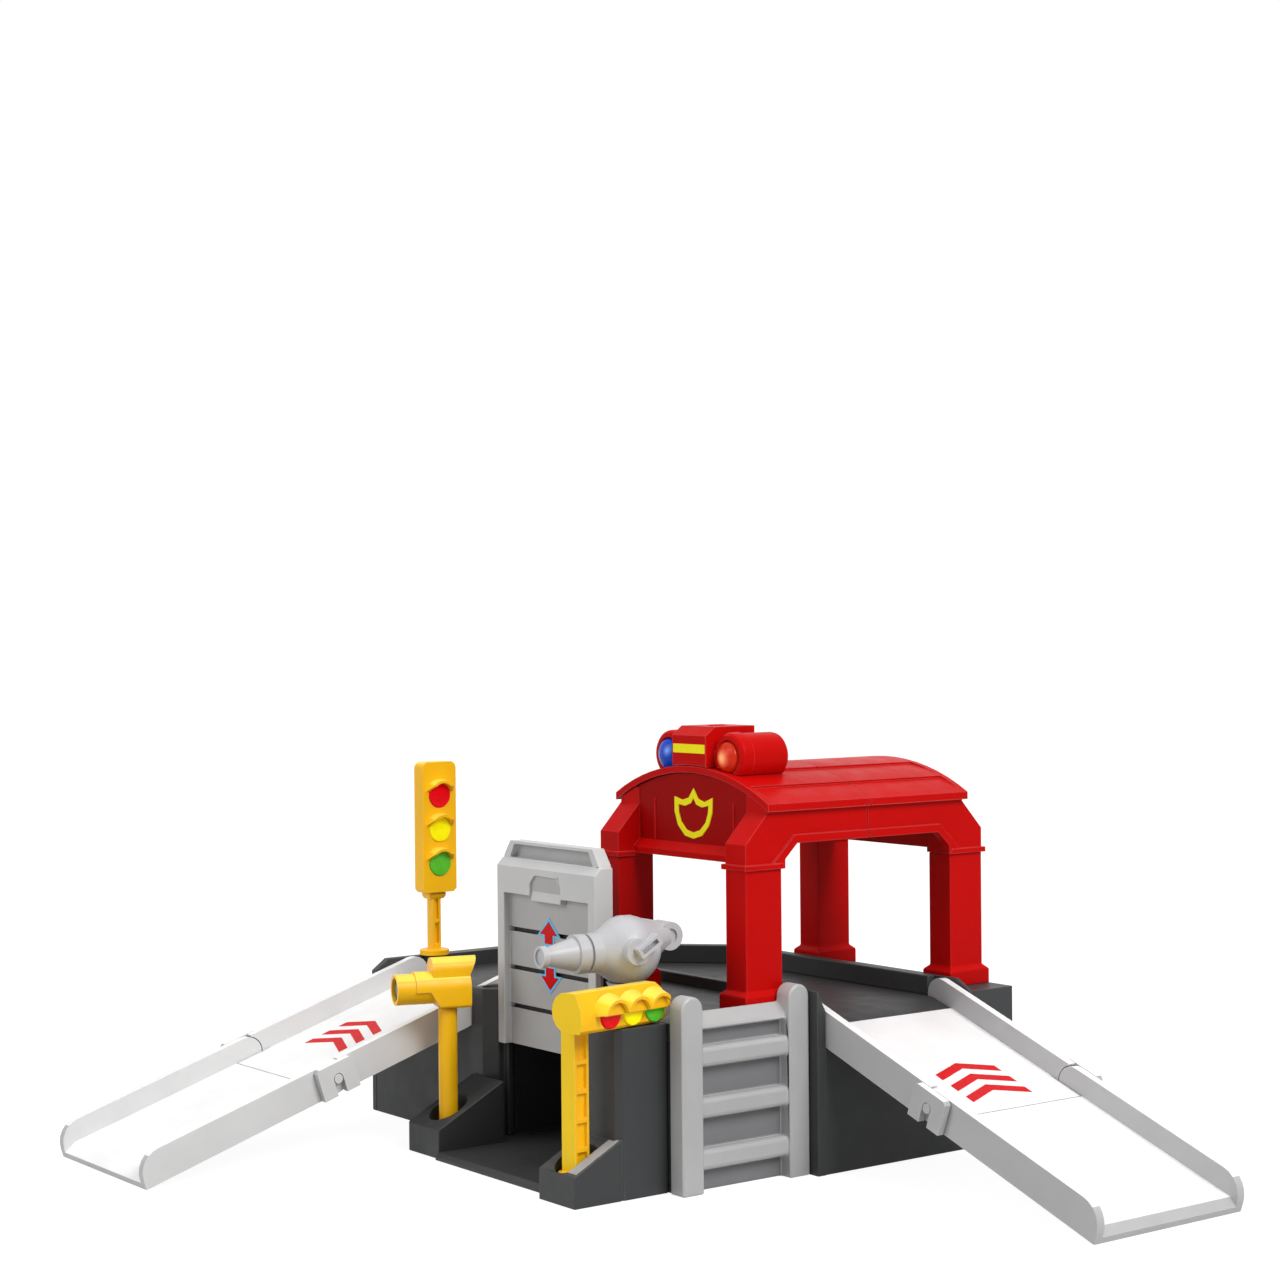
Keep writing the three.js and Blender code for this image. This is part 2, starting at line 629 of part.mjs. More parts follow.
// Floor plate inside the walls, the garage's side walls and the wall behind the ladder
function interior({ leftEnd, backStart }) {
  const plateBack = backOuter - WALL;
  const outline = [
    [leftInner, frontInner], [deckLeft, frontInner], [deckLeft, slotBack], [garageLeft, slotBack],
    [garageLeft, FRONT_SET], [leftFootRight, FRONT_SET], [leftFootRight, SILL_FRONT],
    [-FOOT_WIDE - GAP, SILL_FRONT], [-FOOT_WIDE - GAP, PIER_FRONT - GAP],
    [-PIER_WIDE - GAP, PIER_FRONT - GAP],
    [-PIER_WIDE - GAP, FRONT_SET], [garageRight, FRONT_SET], [garageRight, slotBack], [-PIER_WIDE, slotBack],
    [-PIER_WIDE, PIER_BACK + GAP], [DECK_RIGHT, PIER_BACK + GAP], [DECK_RIGHT, DECK_BACK - CHEEK_THICK],
    [-CHEEK_BACK, DECK_BACK - CHEEK_THICK], [-CHEEK_BACK, DECK_BACK], [RIGHT_REACH - WALL, DECK_BACK],
    [RIGHT_REACH - WALL, rightRampBack + GAP], [railEndX, rightRampBack + GAP], [railEndX, plateBack],
    [backStart, plateBack], [leftInner, leftEnd],
  ];
  const sillCut = sidePrism([
    [SILL_FRONT - OVER, FLOOR_PLATE - SILL_BEVEL - OVER],
    [SILL_FRONT + SILL_BEVEL + OVER, FLOOR_PLATE + OVER],
    [SILL_FRONT - OVER, FLOOR_PLATE + OVER],
  ], leftFootRight - OVER, -FOOT_WIDE);
  const bossX = [garageLeft - WALL - BOSS_R, garageRight + WALL + BOSS_R];
  const holes = bossX.flatMap((x) => [
    rod(SCREW_HEAD_R + GAP, -OVER, SCREW_HEAD + GAP, 'z', [x, SCREW_BACK, 0]),
    rod(SCREW_R + GAP, -OVER, FLOOR_PLATE + OVER, 'z', [x, SCREW_BACK, 0], SMALL_STEPS),
  ]);
  station.add(piece('floor_plate', cut(planPrism(outline, 0, FLOOR_PLATE), sillCut, ...holes),
    finishes.base));
  const sides = [['garage_wall_left', garageLeft - WALL, garageLeft, bossX[0]],
    ['garage_wall_right', garageRight, garageRight + WALL, bossX[1]]];
  for (const [name, x0, x1, boss] of sides) {
    const wall = cut(
      join(
        block([x0, slotBack, FLOOR_PLATE], [x1, plateBack, laneUnder]),
        rod(BOSS_R + OVER / 2, FLOOR_PLATE, FLOOR_PLATE + BOSS_TALL, 'z', [boss, SCREW_BACK, 0]),
      ),
      rod(SCREW_R + GAP, FLOOR_PLATE - OVER, FLOOR_PLATE + SCREW_LONG + GAP, 'z', [boss, SCREW_BACK, 0],
        SMALL_STEPS),
    );
    station.add(piece(name, wall, finishes.base));
  }
  bossX.forEach((x, i) => {
    const shank = SCREW_HEAD + SCREW_LONG;
    const screw = turned([[0, 0], [SCREW_HEAD_R, 0], [SCREW_HEAD_R, SCREW_HEAD], [SCREW_R, SCREW_HEAD],
      [SCREW_R, shank], [0, shank + SCREW_R]], 'z', [x, SCREW_BACK, GAP / 2], SMALL_STEPS);
        const slot = block([x - SCREW_DRIVE / 2, SCREW_BACK - SCREW_R / 4, -OVER],
      [x + SCREW_DRIVE / 2, SCREW_BACK + SCREW_R / 4, SCREW_HEAD / 2]);
    station.add(piece(['floor_screw_left', 'floor_screw_right'][i], cut(screw, slot), finishes.metal));
  });
  station.add(piece('ladder_wall', block([DECK_RIGHT - WALL, PIER_BACK + GAP, FLOOR_PLATE],
    [DECK_RIGHT, DECK_BACK - CHEEK_THICK, deckUnder]), finishes.base));
}

// Deck plate, lane plate, kerb and parapets
function decks({ leftEnd, backStart }) {
  const deckOutline = (edge) => [
    [deckLeft + edge, slotBack + edge], [-PIER_WIDE + edge, slotBack + edge],
    [-PIER_WIDE + edge, PIER_BACK + GAP + edge], [DECK_RIGHT - edge, PIER_BACK + GAP + edge],
    [DECK_RIGHT - edge, DECK_BACK - CHEEK_THICK - edge], [-CHEEK_BACK - edge, DECK_BACK - CHEEK_THICK - edge],
    [-CHEEK_BACK - edge, DECK_BACK - edge], [deckLeft + edge, DECK_BACK - edge],
  ];
  const deck = cut(
    planPrism(deckOutline(0), deckUnder, DECK_TOP),
    planPrism(deckOutline(DECK_SKIN), deckUnder - OVER, DECK_TOP - DECK_SKIN),
    rod(PIVOT_PIN_R + PIN_PLAY, deckLeft - OVER, deckLeft + DECK_SKIN + OVER, 'x',
      [0, LEFT_PIVOT_Y, leftPivotZ]),
  );
  station.add(piece('deck_plate', deck, finishes.base));

  const slopeRight = radians(RIGHT_SLOPE);
  const endX = RIGHT_PIVOT_X + LANE_TO_FLOOR * Math.cos(slopeRight) - FLOOR_BELOW_AXIS * Math.sin(slopeRight);
  const endZ = rightPivotZ - LANE_TO_FLOOR * Math.sin(slopeRight) - FLOOR_BELOW_AXIS * Math.cos(slopeRight);
  const slopeLeft = radians(LEFT_SLOPE);
  const endY = LEFT_PIVOT_Y - LANE_TO_FLOOR * Math.cos(slopeLeft) + FLOOR_BELOW_AXIS * Math.sin(slopeLeft);
  const leftEndZ = leftPivotZ - LANE_TO_FLOOR * Math.sin(slopeLeft) - FLOOR_BELOW_AXIS * Math.cos(slopeLeft);
  const under = (slope) => LANE_THICK * Math.tan(slope);
  const rearLeg = frontPrism([
    [leftInner, laneUnder], [railEndX, laneUnder], [endX - under(slopeRight), endZ - LANE_THICK],
    [endX, endZ],
    [railEndX + RAIL, laneTop], [leftInner, laneTop],
  ], rightRampFront, backOuter - WALL);
  const leftLeg = sidePrism([
    [endY, leftEndZ], [endY + under(slopeLeft), leftEndZ - LANE_THICK], [railEndY, laneUnder],
    [backOuter - WALL, laneUnder], [backOuter - WALL, laneTop], [railEndY - RAIL, laneTop],
  ], leftInner, leftRampRight);
  const outside = planPrism([
    [left - WALL, leftEnd], [leftInner, leftEnd], [backStart, backOuter - WALL],
    [backStart, backOuter + WALL],
    [left - WALL, backOuter + WALL],
  ], laneUnder - OVER, laneTop + OVER);
  const slots = [
    block([left - WALL, FRONT_SET, leftEndZ - 2 * LANE_THICK],
      [leftRampLeft + RAIL + GAP, railEndY, DECK_TOP]),
    block([leftRampRight - RAIL - GAP, FRONT_SET, leftEndZ - 2 * LANE_THICK],
      [deckLeft + OVER, railEndY, DECK_TOP]),
    block([railEndX, DECK_BACK - OVER, endZ - 2 * LANE_THICK], [RIGHT_REACH, laneFront + GAP, DECK_TOP]),
    block([railEndX, laneBack - 2 * GAP, endZ - 2 * LANE_THICK], [RIGHT_REACH, backOuter, DECK_TOP]),
  ];
  station.add(piece('lane_plate', cut(join(rearLeg, leftLeg), outside, ...slots), finishes.lane));

  const kerb = block([deckLeft, rightRampFront, laneTop], [railEndX, laneFront, laneTop + KERB_TALL]);
  const bevel = frontPrism([
    [deckLeft - OVER, laneTop + KERB_TALL + OVER], [deckLeft - OVER, laneTop + RAIL],
    [deckLeft + KERB_TALL - RAIL + OVER, laneTop + KERB_TALL + OVER],
  ], rightRampFront - OVER, laneFront + OVER);
  station.add(piece('lane_kerb', cut(kerb, bevel), finishes.base));

  const parapetTop = laneTop + LEFT_PARAPET_TALL;
  const spigot = rod(TALL_POST_DEEP / 2 + PIN_PLAY, parapetTop - FLANGE - GAP, parapetTop + OVER, 'z',
    [left + TALL_POST_INSET, TALL_POST_BACK, 0]);
  const leftParapet = cut(block([left, railEndY, laneTop], [parapetInner, leftEnd, parapetTop]), spigot);
  const bendY = laneBack - CORNER_CUT;
  const backParapet = planPrism([
    [left, leftEnd], [parapetInner, leftEnd], [parapetInner, Math.max(bendY, leftEnd)],
    [parapetInner + CORNER_CUT, laneBack], [railEndX, laneBack], [railEndX, backOuter],
    [backStart, backOuter],
  ], laneTop, laneTop + KERB_TALL);
  station.add(
    piece('left_parapet', leftParapet, finishes.base),
    piece('back_parapet', backParapet, finishes.base),
  );
}

// Ladder: two rails with round tops, three rungs, a sloped shelf and a backing plate
function ladder() {
  const back = DECK_RIGHT + GAP;
  const end = DECK_BACK - CHEEK_THICK - GAP;
  const rail = (y0) => {
    const y1 = y0 + LADDER_RAIL;
    const round = LADDER_RAIL / 2;
    const outline = [[y0, 0], [y1, 0], ...arc([y0 + round, LADDER_TALL - round], round, 0, 180, END_STEPS)];
    return sidePrism(outline, back, LADDER_OUT);
  };
  const y0 = LADDER_FRONT + LADDER_RAIL - OVER;
  const y1 = end - LADDER_RAIL + OVER;
  const rungs = Array.from({ length: RUNG_COUNT }, (_, i) => {
    const z = RUNG_LOWEST + i * RUNG_PITCH;
    return frontPrism([[back, z], [RUNG_OUT - OVER, z], [RUNG_OUT, z + OVER],
      [RUNG_OUT, z + RUNG_TALL - OVER], [RUNG_OUT - OVER, z + RUNG_TALL], [back, z + RUNG_TALL]], y0, y1);
  });
  const shelfLow = DECK_TOP - SHELF_BELOW_DECK;
  const shelf = frontPrism([
    [back, shelfLow], [SHELF_OUT, shelfLow], [SHELF_OUT, shelfLow + SHELF_LIP], [back, DECK_TOP + SHELF_RISE],
  ], y0, y1);
  const plate = block([back, y0, 0], [back + LADDER_BACKING, y1, DECK_TOP]);
  station.add(piece('ladder', join(rail(LADDER_FRONT), rail(end - LADDER_RAIL), plate, shelf, ...rungs),
    finishes.pale));
}

// Garage door, raised at rest; it runs down between the two posts on their tongues
function garageDoor() {
  const group = placed(new THREE.Group(), doorLeft, doorFront, DOOR_RAISED);
  const bodyTop = DOOR_TALL - DOOR_HANDLE;
  const body = sidePrism([
    [0, 0], [DOOR_THICK, 0], [DOOR_THICK, bodyTop + DOOR_BEVEL], [DOOR_BEVEL, bodyTop + DOOR_BEVEL],
    [0, bodyTop],
  ], 0, DOOR_WIDE);
  const handleFoot = bodyTop + DOOR_BEVEL;
  const handle = frontPrism([
    [0, bodyTop], [DOOR_WIDE, bodyTop], [DOOR_WIDE - OVER, handleFoot + OVER],
    [DOOR_WIDE - DOOR_HANDLE_INSET - OVER, DOOR_TALL], [DOOR_HANDLE_INSET + OVER, DOOR_TALL],
    [OVER, handleFoot + OVER],
  ], DOOR_BEVEL, DOOR_THICK);
  const eye = frontPrism([
    [DOOR_POCKET_INSET, handleFoot + GAP],
    [DOOR_WIDE - DOOR_POCKET_INSET, handleFoot + GAP],
    [DOOR_WIDE - DOOR_POCKET_INSET - DOOR_POCKET_LEAN, DOOR_TALL - DOOR_HANDLE_BAR],
    [DOOR_POCKET_INSET + DOOR_POCKET_LEAN, DOOR_TALL - DOOR_HANDLE_BAR],
  ], DOOR_BEVEL - OVER, DOOR_BEVEL + DOOR_EYE_DEEP);
  const panelTop = bodyTop - DOOR_PANEL_TOP;
  const panel = block([DOOR_FRAME, -OVER, -OVER], [DOOR_WIDE - DOOR_FRAME, DOOR_PANEL_DEEP, panelTop]);
  const middle = DOOR_WIDE / 2;
  const notch = frontPrism([
    [middle - DOOR_NOTCH_WIDE / 2, panelTop - OVER], [middle + DOOR_NOTCH_WIDE / 2, panelTop - OVER],
    [middle + DOOR_NOTCH_WIDE / 2, panelTop + DOOR_NOTCH_TALL - DOOR_NOTCH_CUT],
    [middle + DOOR_NOTCH_WIDE / 2 - DOOR_NOTCH_CUT, panelTop + DOOR_NOTCH_TALL],
    [middle - DOOR_NOTCH_WIDE / 2 + DOOR_NOTCH_CUT, panelTop + DOOR_NOTCH_TALL],
    [middle - DOOR_NOTCH_WIDE / 2, panelTop + DOOR_NOTCH_TALL - DOOR_NOTCH_CUT],
  ], -OVER, DOOR_NOTCH_DEEP);
  const slots = Array.from({ length: DOOR_SLOT_COUNT }, (_, i) => {
    const z = DOOR_SLOT_FIRST + i * DOOR_SLOT_PITCH;
    return block([DOOR_FRAME, DOOR_PANEL_DEEP - OVER, z],
      [DOOR_WIDE - DOOR_FRAME, DOOR_PANEL_DEEP + DOOR_SLOT_DEEP, z + DOOR_SLOT_TALL]);
  });
  const grooveY = tongueFront - doorFront - GAP;
  const grooveBack = grooveY + TONGUE_THICK + 2 * GAP;
  const grooveTop = tongueTop - DOOR_RAISED + DOOR_TRAVEL + GAP;
  const grooves = [[-OVER, TONGUE + GAP], [DOOR_WIDE - TONGUE - GAP, DOOR_WIDE + OVER]].map(([x0, x1]) => (
    block([x0, grooveY, -OVER], [x1, grooveBack, grooveTop])));
  group.add(piece('garage_door', cut(join(body, handle), eye, panel, notch, ...slots, ...grooves),
    finishes.pale));
  station.add(group);
}

// Water cannon: a seat that turns on the deck and a barrel that tilts in it
function cannon() {
  const group = placed(new THREE.Group(), -CANNON_LEFT, CANNON_BACK, CANNON_AXIS);
  group.rotation.z = radians(CANNON_YAW);
  const deck = DECK_TOP - CANNON_AXIS;
  const seatTop = deck + SEAT_TALL;
  const seat = cut(
    turned([[0, deck], [SEAT_FOOT_R, deck], [SEAT_FOOT_R, deck + SEAT_FOOT],
      [SEAT_OUT_R - OVER, deck + 2 * SEAT_FOOT],
      [SEAT_OUT_R - OVER, seatTop - SEAT_FOOT], [SEAT_OUT_R, seatTop], [0, seatTop]], 'z', [0, 0, 0],
      FINE_STEPS),
    ball(BALL_R + GAP, BALL_STEPS),
  );
  const collarEnd = COLLAR_START + 2 * COLLAR_LONG + COLLAR_GROOVE;
  const tipStart = collarEnd + NOZZLE_LONG;
  const nozzle = turned([
    [0, -tipStart - TIP_LONG], [TIP_R, -tipStart - TIP_LONG], [TIP_R, -tipStart], [NOZZLE_R, -tipStart],
    [COLLAR_R - COLLAR_GROOVE, -collarEnd], [COLLAR_R, -collarEnd],
    [COLLAR_R, -collarEnd + COLLAR_LONG], [COLLAR_R - COLLAR_GROOVE, -collarEnd + COLLAR_LONG],
    [COLLAR_R - COLLAR_GROOVE, -collarEnd + COLLAR_LONG + COLLAR_GROOVE],
    [COLLAR_R, -collarEnd + COLLAR_LONG + COLLAR_GROOVE], [COLLAR_R, -COLLAR_START],
    [COLLAR_ROOT_R, -COLLAR_ROOT], [BALL_R / 2, 0], [0, 0],
  ], 'y', [0, 0, 0], FINE_STEPS);
  const bore = rod(TIP_BORE_R, -tipStart - TIP_LONG - OVER, -tipStart - TIP_LONG + TIP_BORE_DEEP, 'y',
    [0, 0, 0], PIN_STEPS);
  const neckRise = COUPLING_UP - NECK_ROOT_UP;
  const reach = Math.hypot(COUPLING_BACK, neckRise);
  const neckShape = new THREE.CylinderGeometry(NECK_R, NECK_ROOT_R, reach, BALL_STEPS)
    .translate(0, reach / 2, 0)
    .rotateX(Math.atan2(neckRise, COUPLING_BACK))
    .translate(0, 0, NECK_ROOT_UP);
  const neck = solid(neckShape);
  const half = COUPLING_WIDE / 2;
  const coupling = turned([
    [0, -half + COUPLING_DISH], [COUPLING_DISH_R, -half + COUPLING_DISH], [COUPLING_DISH_R, -half],
    [COUPLING_R, -half], [COUPLING_R, half], [COUPLING_DISH_R, half], [COUPLING_DISH_R, half - COUPLING_DISH],
    [0, half - COUPLING_DISH],
  ], 'x', [0, COUPLING_BACK, COUPLING_UP], MID_STEPS);
  const discOut = BALL_R + PIVOT_DISC_OUT;
  const disc = rod(PIVOT_DISC_R, 0, discOut, 'x', [0, -PIVOT_FRONT, PIVOT_UP], MID_STEPS);
  const leverShape = new THREE.BoxGeometry(LEVER_OUT + OVER, LEVER_LONG, LEVER_WIDE);
  const eyeShape = new THREE.BoxGeometry(LEVER_OUT + 2 * OVER, LEVER_LONG - 2 * LEVER_BAR,
    LEVER_WIDE - 2 * LEVER_BAR);
  const [leverBar, leverEye] = [leverShape, eyeShape].map((shape, i) => solid(shape
    .translate(discOut + LEVER_OUT / 2 - OVER / 2 + i * (LEVER_OUT / 2 + OVER), LEVER_LONG / 2 - LEVER_BAR, 0)
    .rotateX(radians(LEVER_TILT))
    .translate(0, -PIVOT_FRONT, PIVOT_UP)));
  const barrel = join(ball(BALL_R, BALL_STEPS), cut(nozzle, bore), neck, coupling, disc,
    cut(leverBar, leverEye));
  group.add(piece('cannon_seat', seat, finishes.pale), piece('cannon_barrel', barrel, finishes.pale));
  station.add(group);
}

function ball(radius, steps) {
  const rings = steps / 2;
  const profile = Array.from({ length: rings + 1 }, (_, i) => {
    const turn = -Math.PI / 2 + (Math.PI * i) / rings;
    return [i % rings === 0 ? 0 : radius * Math.cos(turn), radius * Math.sin(turn)];
  });
  return turned(profile, 'y', [0, 0, 0], steps);
}

// Canopy posts, frame halves and roof halves
const canopyBack = CANOPY_FRONT + CANOPY_DEEP;
const canopySeam = (CANOPY_FRONT + canopyBack) / 2;
const canopyMiddle = -CANOPY_WIDE / 2;
const postTop = DECK_TOP + POST_TALL;
const roofSpan = CANOPY_WIDE / 2 + ROOF_EAVE;
const roofR = (roofSpan ** 2 + ROOF_RISE ** 2) / (2 * ROOF_RISE);
const roofPeak = DECK_TOP + ROOF_PEAK;
const roofCentre = [canopyMiddle, roofPeak - roofR];

function roofArc(radius, halfSpan) {
  const half = THREE.MathUtils.radToDeg(Math.asin(halfSpan / radius));
  return arc(roofCentre, radius, 90 - half, 90 + half, ARC_STEPS);
}

function posts() {
  const places = [
    ['post_front_left', -CANOPY_WIDE, CANOPY_FRONT], ['post_front_right', -POST_WIDE, CANOPY_FRONT],
    ['post_rear_left', -CANOPY_WIDE, canopyBack - POST_DEEP],
    ['post_rear_right', -POST_WIDE, canopyBack - POST_DEEP],
  ];
  for (const [name, x, y] of places) {
    const shaft = block([x, y, DECK_TOP], [x + POST_WIDE, y + POST_DEEP, postTop]);
    const across = rectangle(x - POST_LIP, DECK_TOP, x + POST_WIDE + POST_LIP, DECK_TOP + POST_FOOT);
    const foot = frontPrism([
      across[0], across[1], across[2], [x + POST_WIDE, DECK_TOP + POST_FOOT + POST_FOOT_SLOPE],
      [x, DECK_TOP + POST_FOOT + POST_FOOT_SLOPE], across[3],
    ], y - POST_LIP, y + POST_DEEP + POST_LIP);
    const slope = sidePrism([
      [y - POST_LIP, DECK_TOP], [y + POST_DEEP + POST_LIP, DECK_TOP],
      [y + POST_DEEP + POST_LIP, DECK_TOP + POST_FOOT],
      [y + POST_DEEP, DECK_TOP + POST_FOOT + POST_FOOT_SLOPE], [y, DECK_TOP + POST_FOOT + POST_FOOT_SLOPE],
      [y - POST_LIP, DECK_TOP + POST_FOOT],
    ], x - POST_LIP, x + POST_WIDE + POST_LIP);
    station.add(piece(name, join(shaft, foot.intersect(slope)), finishes.red));
  }
}

// One half of the frame, drawn for the front; the rear half is its mirror image about the seam
function frameHalf(mirrored) {
  const along = (t) => (mirrored ? canopyBack - t : CANOPY_FRONT + t);
  const side = (points, x0, x1) => {
    const outline = points.map(([t, z]) => [along(t), z]);
    return sidePrism(mirrored ? outline.reverse() : outline, x0, x1);
  };
  const span = (x0, x1, t0, t1, z0, z1) => block([x0, Math.min(along(t0), along(t1)), z0],
    [x1, Math.max(along(t0), along(t1)), z1]);
  const seam = CANOPY_DEEP / 2 - GAP / 2;
  const bottom = postTop;
  const bandTop = bottom + CAPITAL;
  const eaves = roofPeak - ROOF_RISE + ROOF_THICK;
  const haunchTop = bandTop + HAUNCH_TALL;
  const openStart = POST_DEEP + CAPITAL_LIP;
  const openEnd = openStart + OPENING_RUN;
  const openTop = bottom + OPENING_RISE;
  const corner = [[0, bottom], [POST_DEEP, bottom], [POST_DEEP, eaves], [HAUNCH_SLOPE_DEEP, eaves],
    [HAUNCH_SLOPE_DEEP, haunchTop + HAUNCH_SLOPE_TALL], [0, haunchTop]];
  const opening = [[openStart, bottom], [openStart, bottom + OPENING_STEP], [openEnd, openTop],
    [seam, openTop]];
  const rise = openTop - bottom - OPENING_STEP;
  const lean = (Math.hypot(OPENING_RUN, rise) - OPENING_RUN) / rise;
  const bandEnd = openEnd - FASCIA_BAND * lean;
  const bandStart = bandEnd - (openTop + FASCIA_BAND - bandTop) * OPENING_RUN / rise;
  const beam = [[OVER, bottom], ...opening, [seam, eaves],
    [HAUNCH_SLOPE_DEEP, eaves], [HAUNCH_SLOPE_DEEP, haunchTop + HAUNCH_SLOPE_TALL - OVER], [OVER, haunchTop]];
  const band = [[-CAPITAL_LIP, bottom], ...opening,
    [seam, openTop + FASCIA_BAND], [bandEnd, openTop + FASCIA_BAND], [bandStart, bandTop],
    [-CAPITAL_LIP, bandTop]];
  const parts = [];
  for (const [x0, x1, out] of [[-POST_WIDE, 0, 1], [-CANOPY_WIDE, -CANOPY_WIDE + POST_WIDE, -1]]) {
    parts.push(side(corner, x0, x1));
    const outer = out > 0 ? x1 : x0;
    const inner = outer - out * FASCIA;
    const trim = outer + out * FASCIA_TRIM;
    parts.push(side(beam, Math.min(outer, inner), Math.max(outer, inner)));
    parts.push(side(band, Math.min(trim, inner), Math.max(trim, inner)));
    parts.push(span(x0 - CAPITAL_LIP, x1 + CAPITAL_LIP, -CAPITAL_LIP, POST_DEEP, bottom, bandTop));
  }
  const sillBottom = bottom + SILL_UP;
  parts.push(side([
    [SILL_SET, sillBottom], [GABLE_SET + GABLE_THICK, sillBottom],
    [GABLE_SET + GABLE_THICK, sillBottom + SILL_FACE + SILL_RISE],
    [GABLE_SET, sillBottom + SILL_FACE + SILL_RISE], [SILL_SET, sillBottom + SILL_FACE],
  ], -CANOPY_WIDE + POST_WIDE - OVER, -POST_WIDE + OVER));
  parts.push(span(-CANOPY_WIDE + POST_WIDE - OVER, -POST_WIDE + OVER, GABLE_SET, GABLE_SET + GABLE_THICK,
    sillBottom, roofPeak));
  const reach = CANOPY_WIDE;
  const above = frontPrism([
    [canopyMiddle + reach, roofPeak + reach], [canopyMiddle - reach, roofPeak + reach],
    [canopyMiddle - reach, eaves - ROOF_THICK - GAP],
    ...roofArc(roofR - ROOF_THICK - GAP, roofSpan).reverse(),
    [canopyMiddle + reach, eaves - ROOF_THICK - GAP],
  ], CANOPY_FRONT - reach, canopyBack + reach);
  return cut(join(...parts), above);
}

// Curved shell with overlapping planks: each is sunk along its upper edge, level with the rim along its lower
function roofShell(y0, y1, innerPlank, outerPlank) {
  const shell = frontPrism([
    ...roofArc(roofR, roofSpan), ...roofArc(roofR - ROOF_THICK, roofSpan).reverse(),
  ], y0, y1);
  const plank = (side, top, foot, start, end) => {
    const [turnTop, turnFoot] = [top, foot].map((half) => Math.asin(half / roofR));
    const point = (radius, turn) => [
      roofCentre[0] + side * radius * Math.sin(turn), roofCentre[1] + radius * Math.cos(turn),
    ];
    const sunk = Array.from({ length: PLANK_STEPS + 1 }, (_, i) => {
      const done = i / PLANK_STEPS;
      return point(roofR - PLANK_STEP * (1 - done), turnTop + (turnFoot - turnTop) * done);
    });
    const outline = [...sunk, point(roofR + PLANK_STEP, turnFoot), point(roofR + PLANK_STEP, turnTop)];
    return frontPrism(side > 0 ? outline : outline.reverse(), start, end);
  };
  return cut(shell, ...[-1, 1].flatMap((side) => [
    plank(side, PLANK_HALF, PLANK_OUTER_HALF, ...innerPlank),
    plank(side, PLANK_OUTER_HALF, roofSpan, ...outerPlank),
  ]));
}

const roofFront = CANOPY_FRONT + HAUNCH_SLOPE_DEEP + 2 * GAP - ROOF_OVERHANG;
const lampMiddle = LAMP_BOX_FRONT + LAMP_BOX_DEEP / 2;

function canopy() {
  const roofBack = canopyBack - (roofFront - CANOPY_FRONT);
  const lampBack = Math.max(LAMP_BOX_FRONT + LAMP_BOX_DEEP, BARREL_FRONT + BARREL_LONG) + GAP;
  const front = roofShell(roofFront, canopySeam - GAP / 2,
    [lampBack, canopySeam], [roofFront + PLANK_RIM, canopySeam]);
  const rearPlank = [canopySeam, roofBack - PLANK_RIM];
  const rear = roofShell(canopySeam + GAP / 2, roofBack, rearPlank, rearPlank);
  const hatch = block(
    [canopyMiddle - HATCH_WIDE / 2, lampMiddle - HATCH_DEEP / 2, roofPeak - roofR],
    [canopyMiddle + HATCH_WIDE / 2, lampMiddle + HATCH_DEEP / 2, roofPeak + roofR]);
  station.add(
    piece('canopy_frame_front', frameHalf(false), finishes.red),
    piece('canopy_frame_rear', frameHalf(true), finishes.red),
    piece('roof_front', cut(front, hatch), finishes.red),
    piece('roof_rear', rear, finishes.red),
  );
}

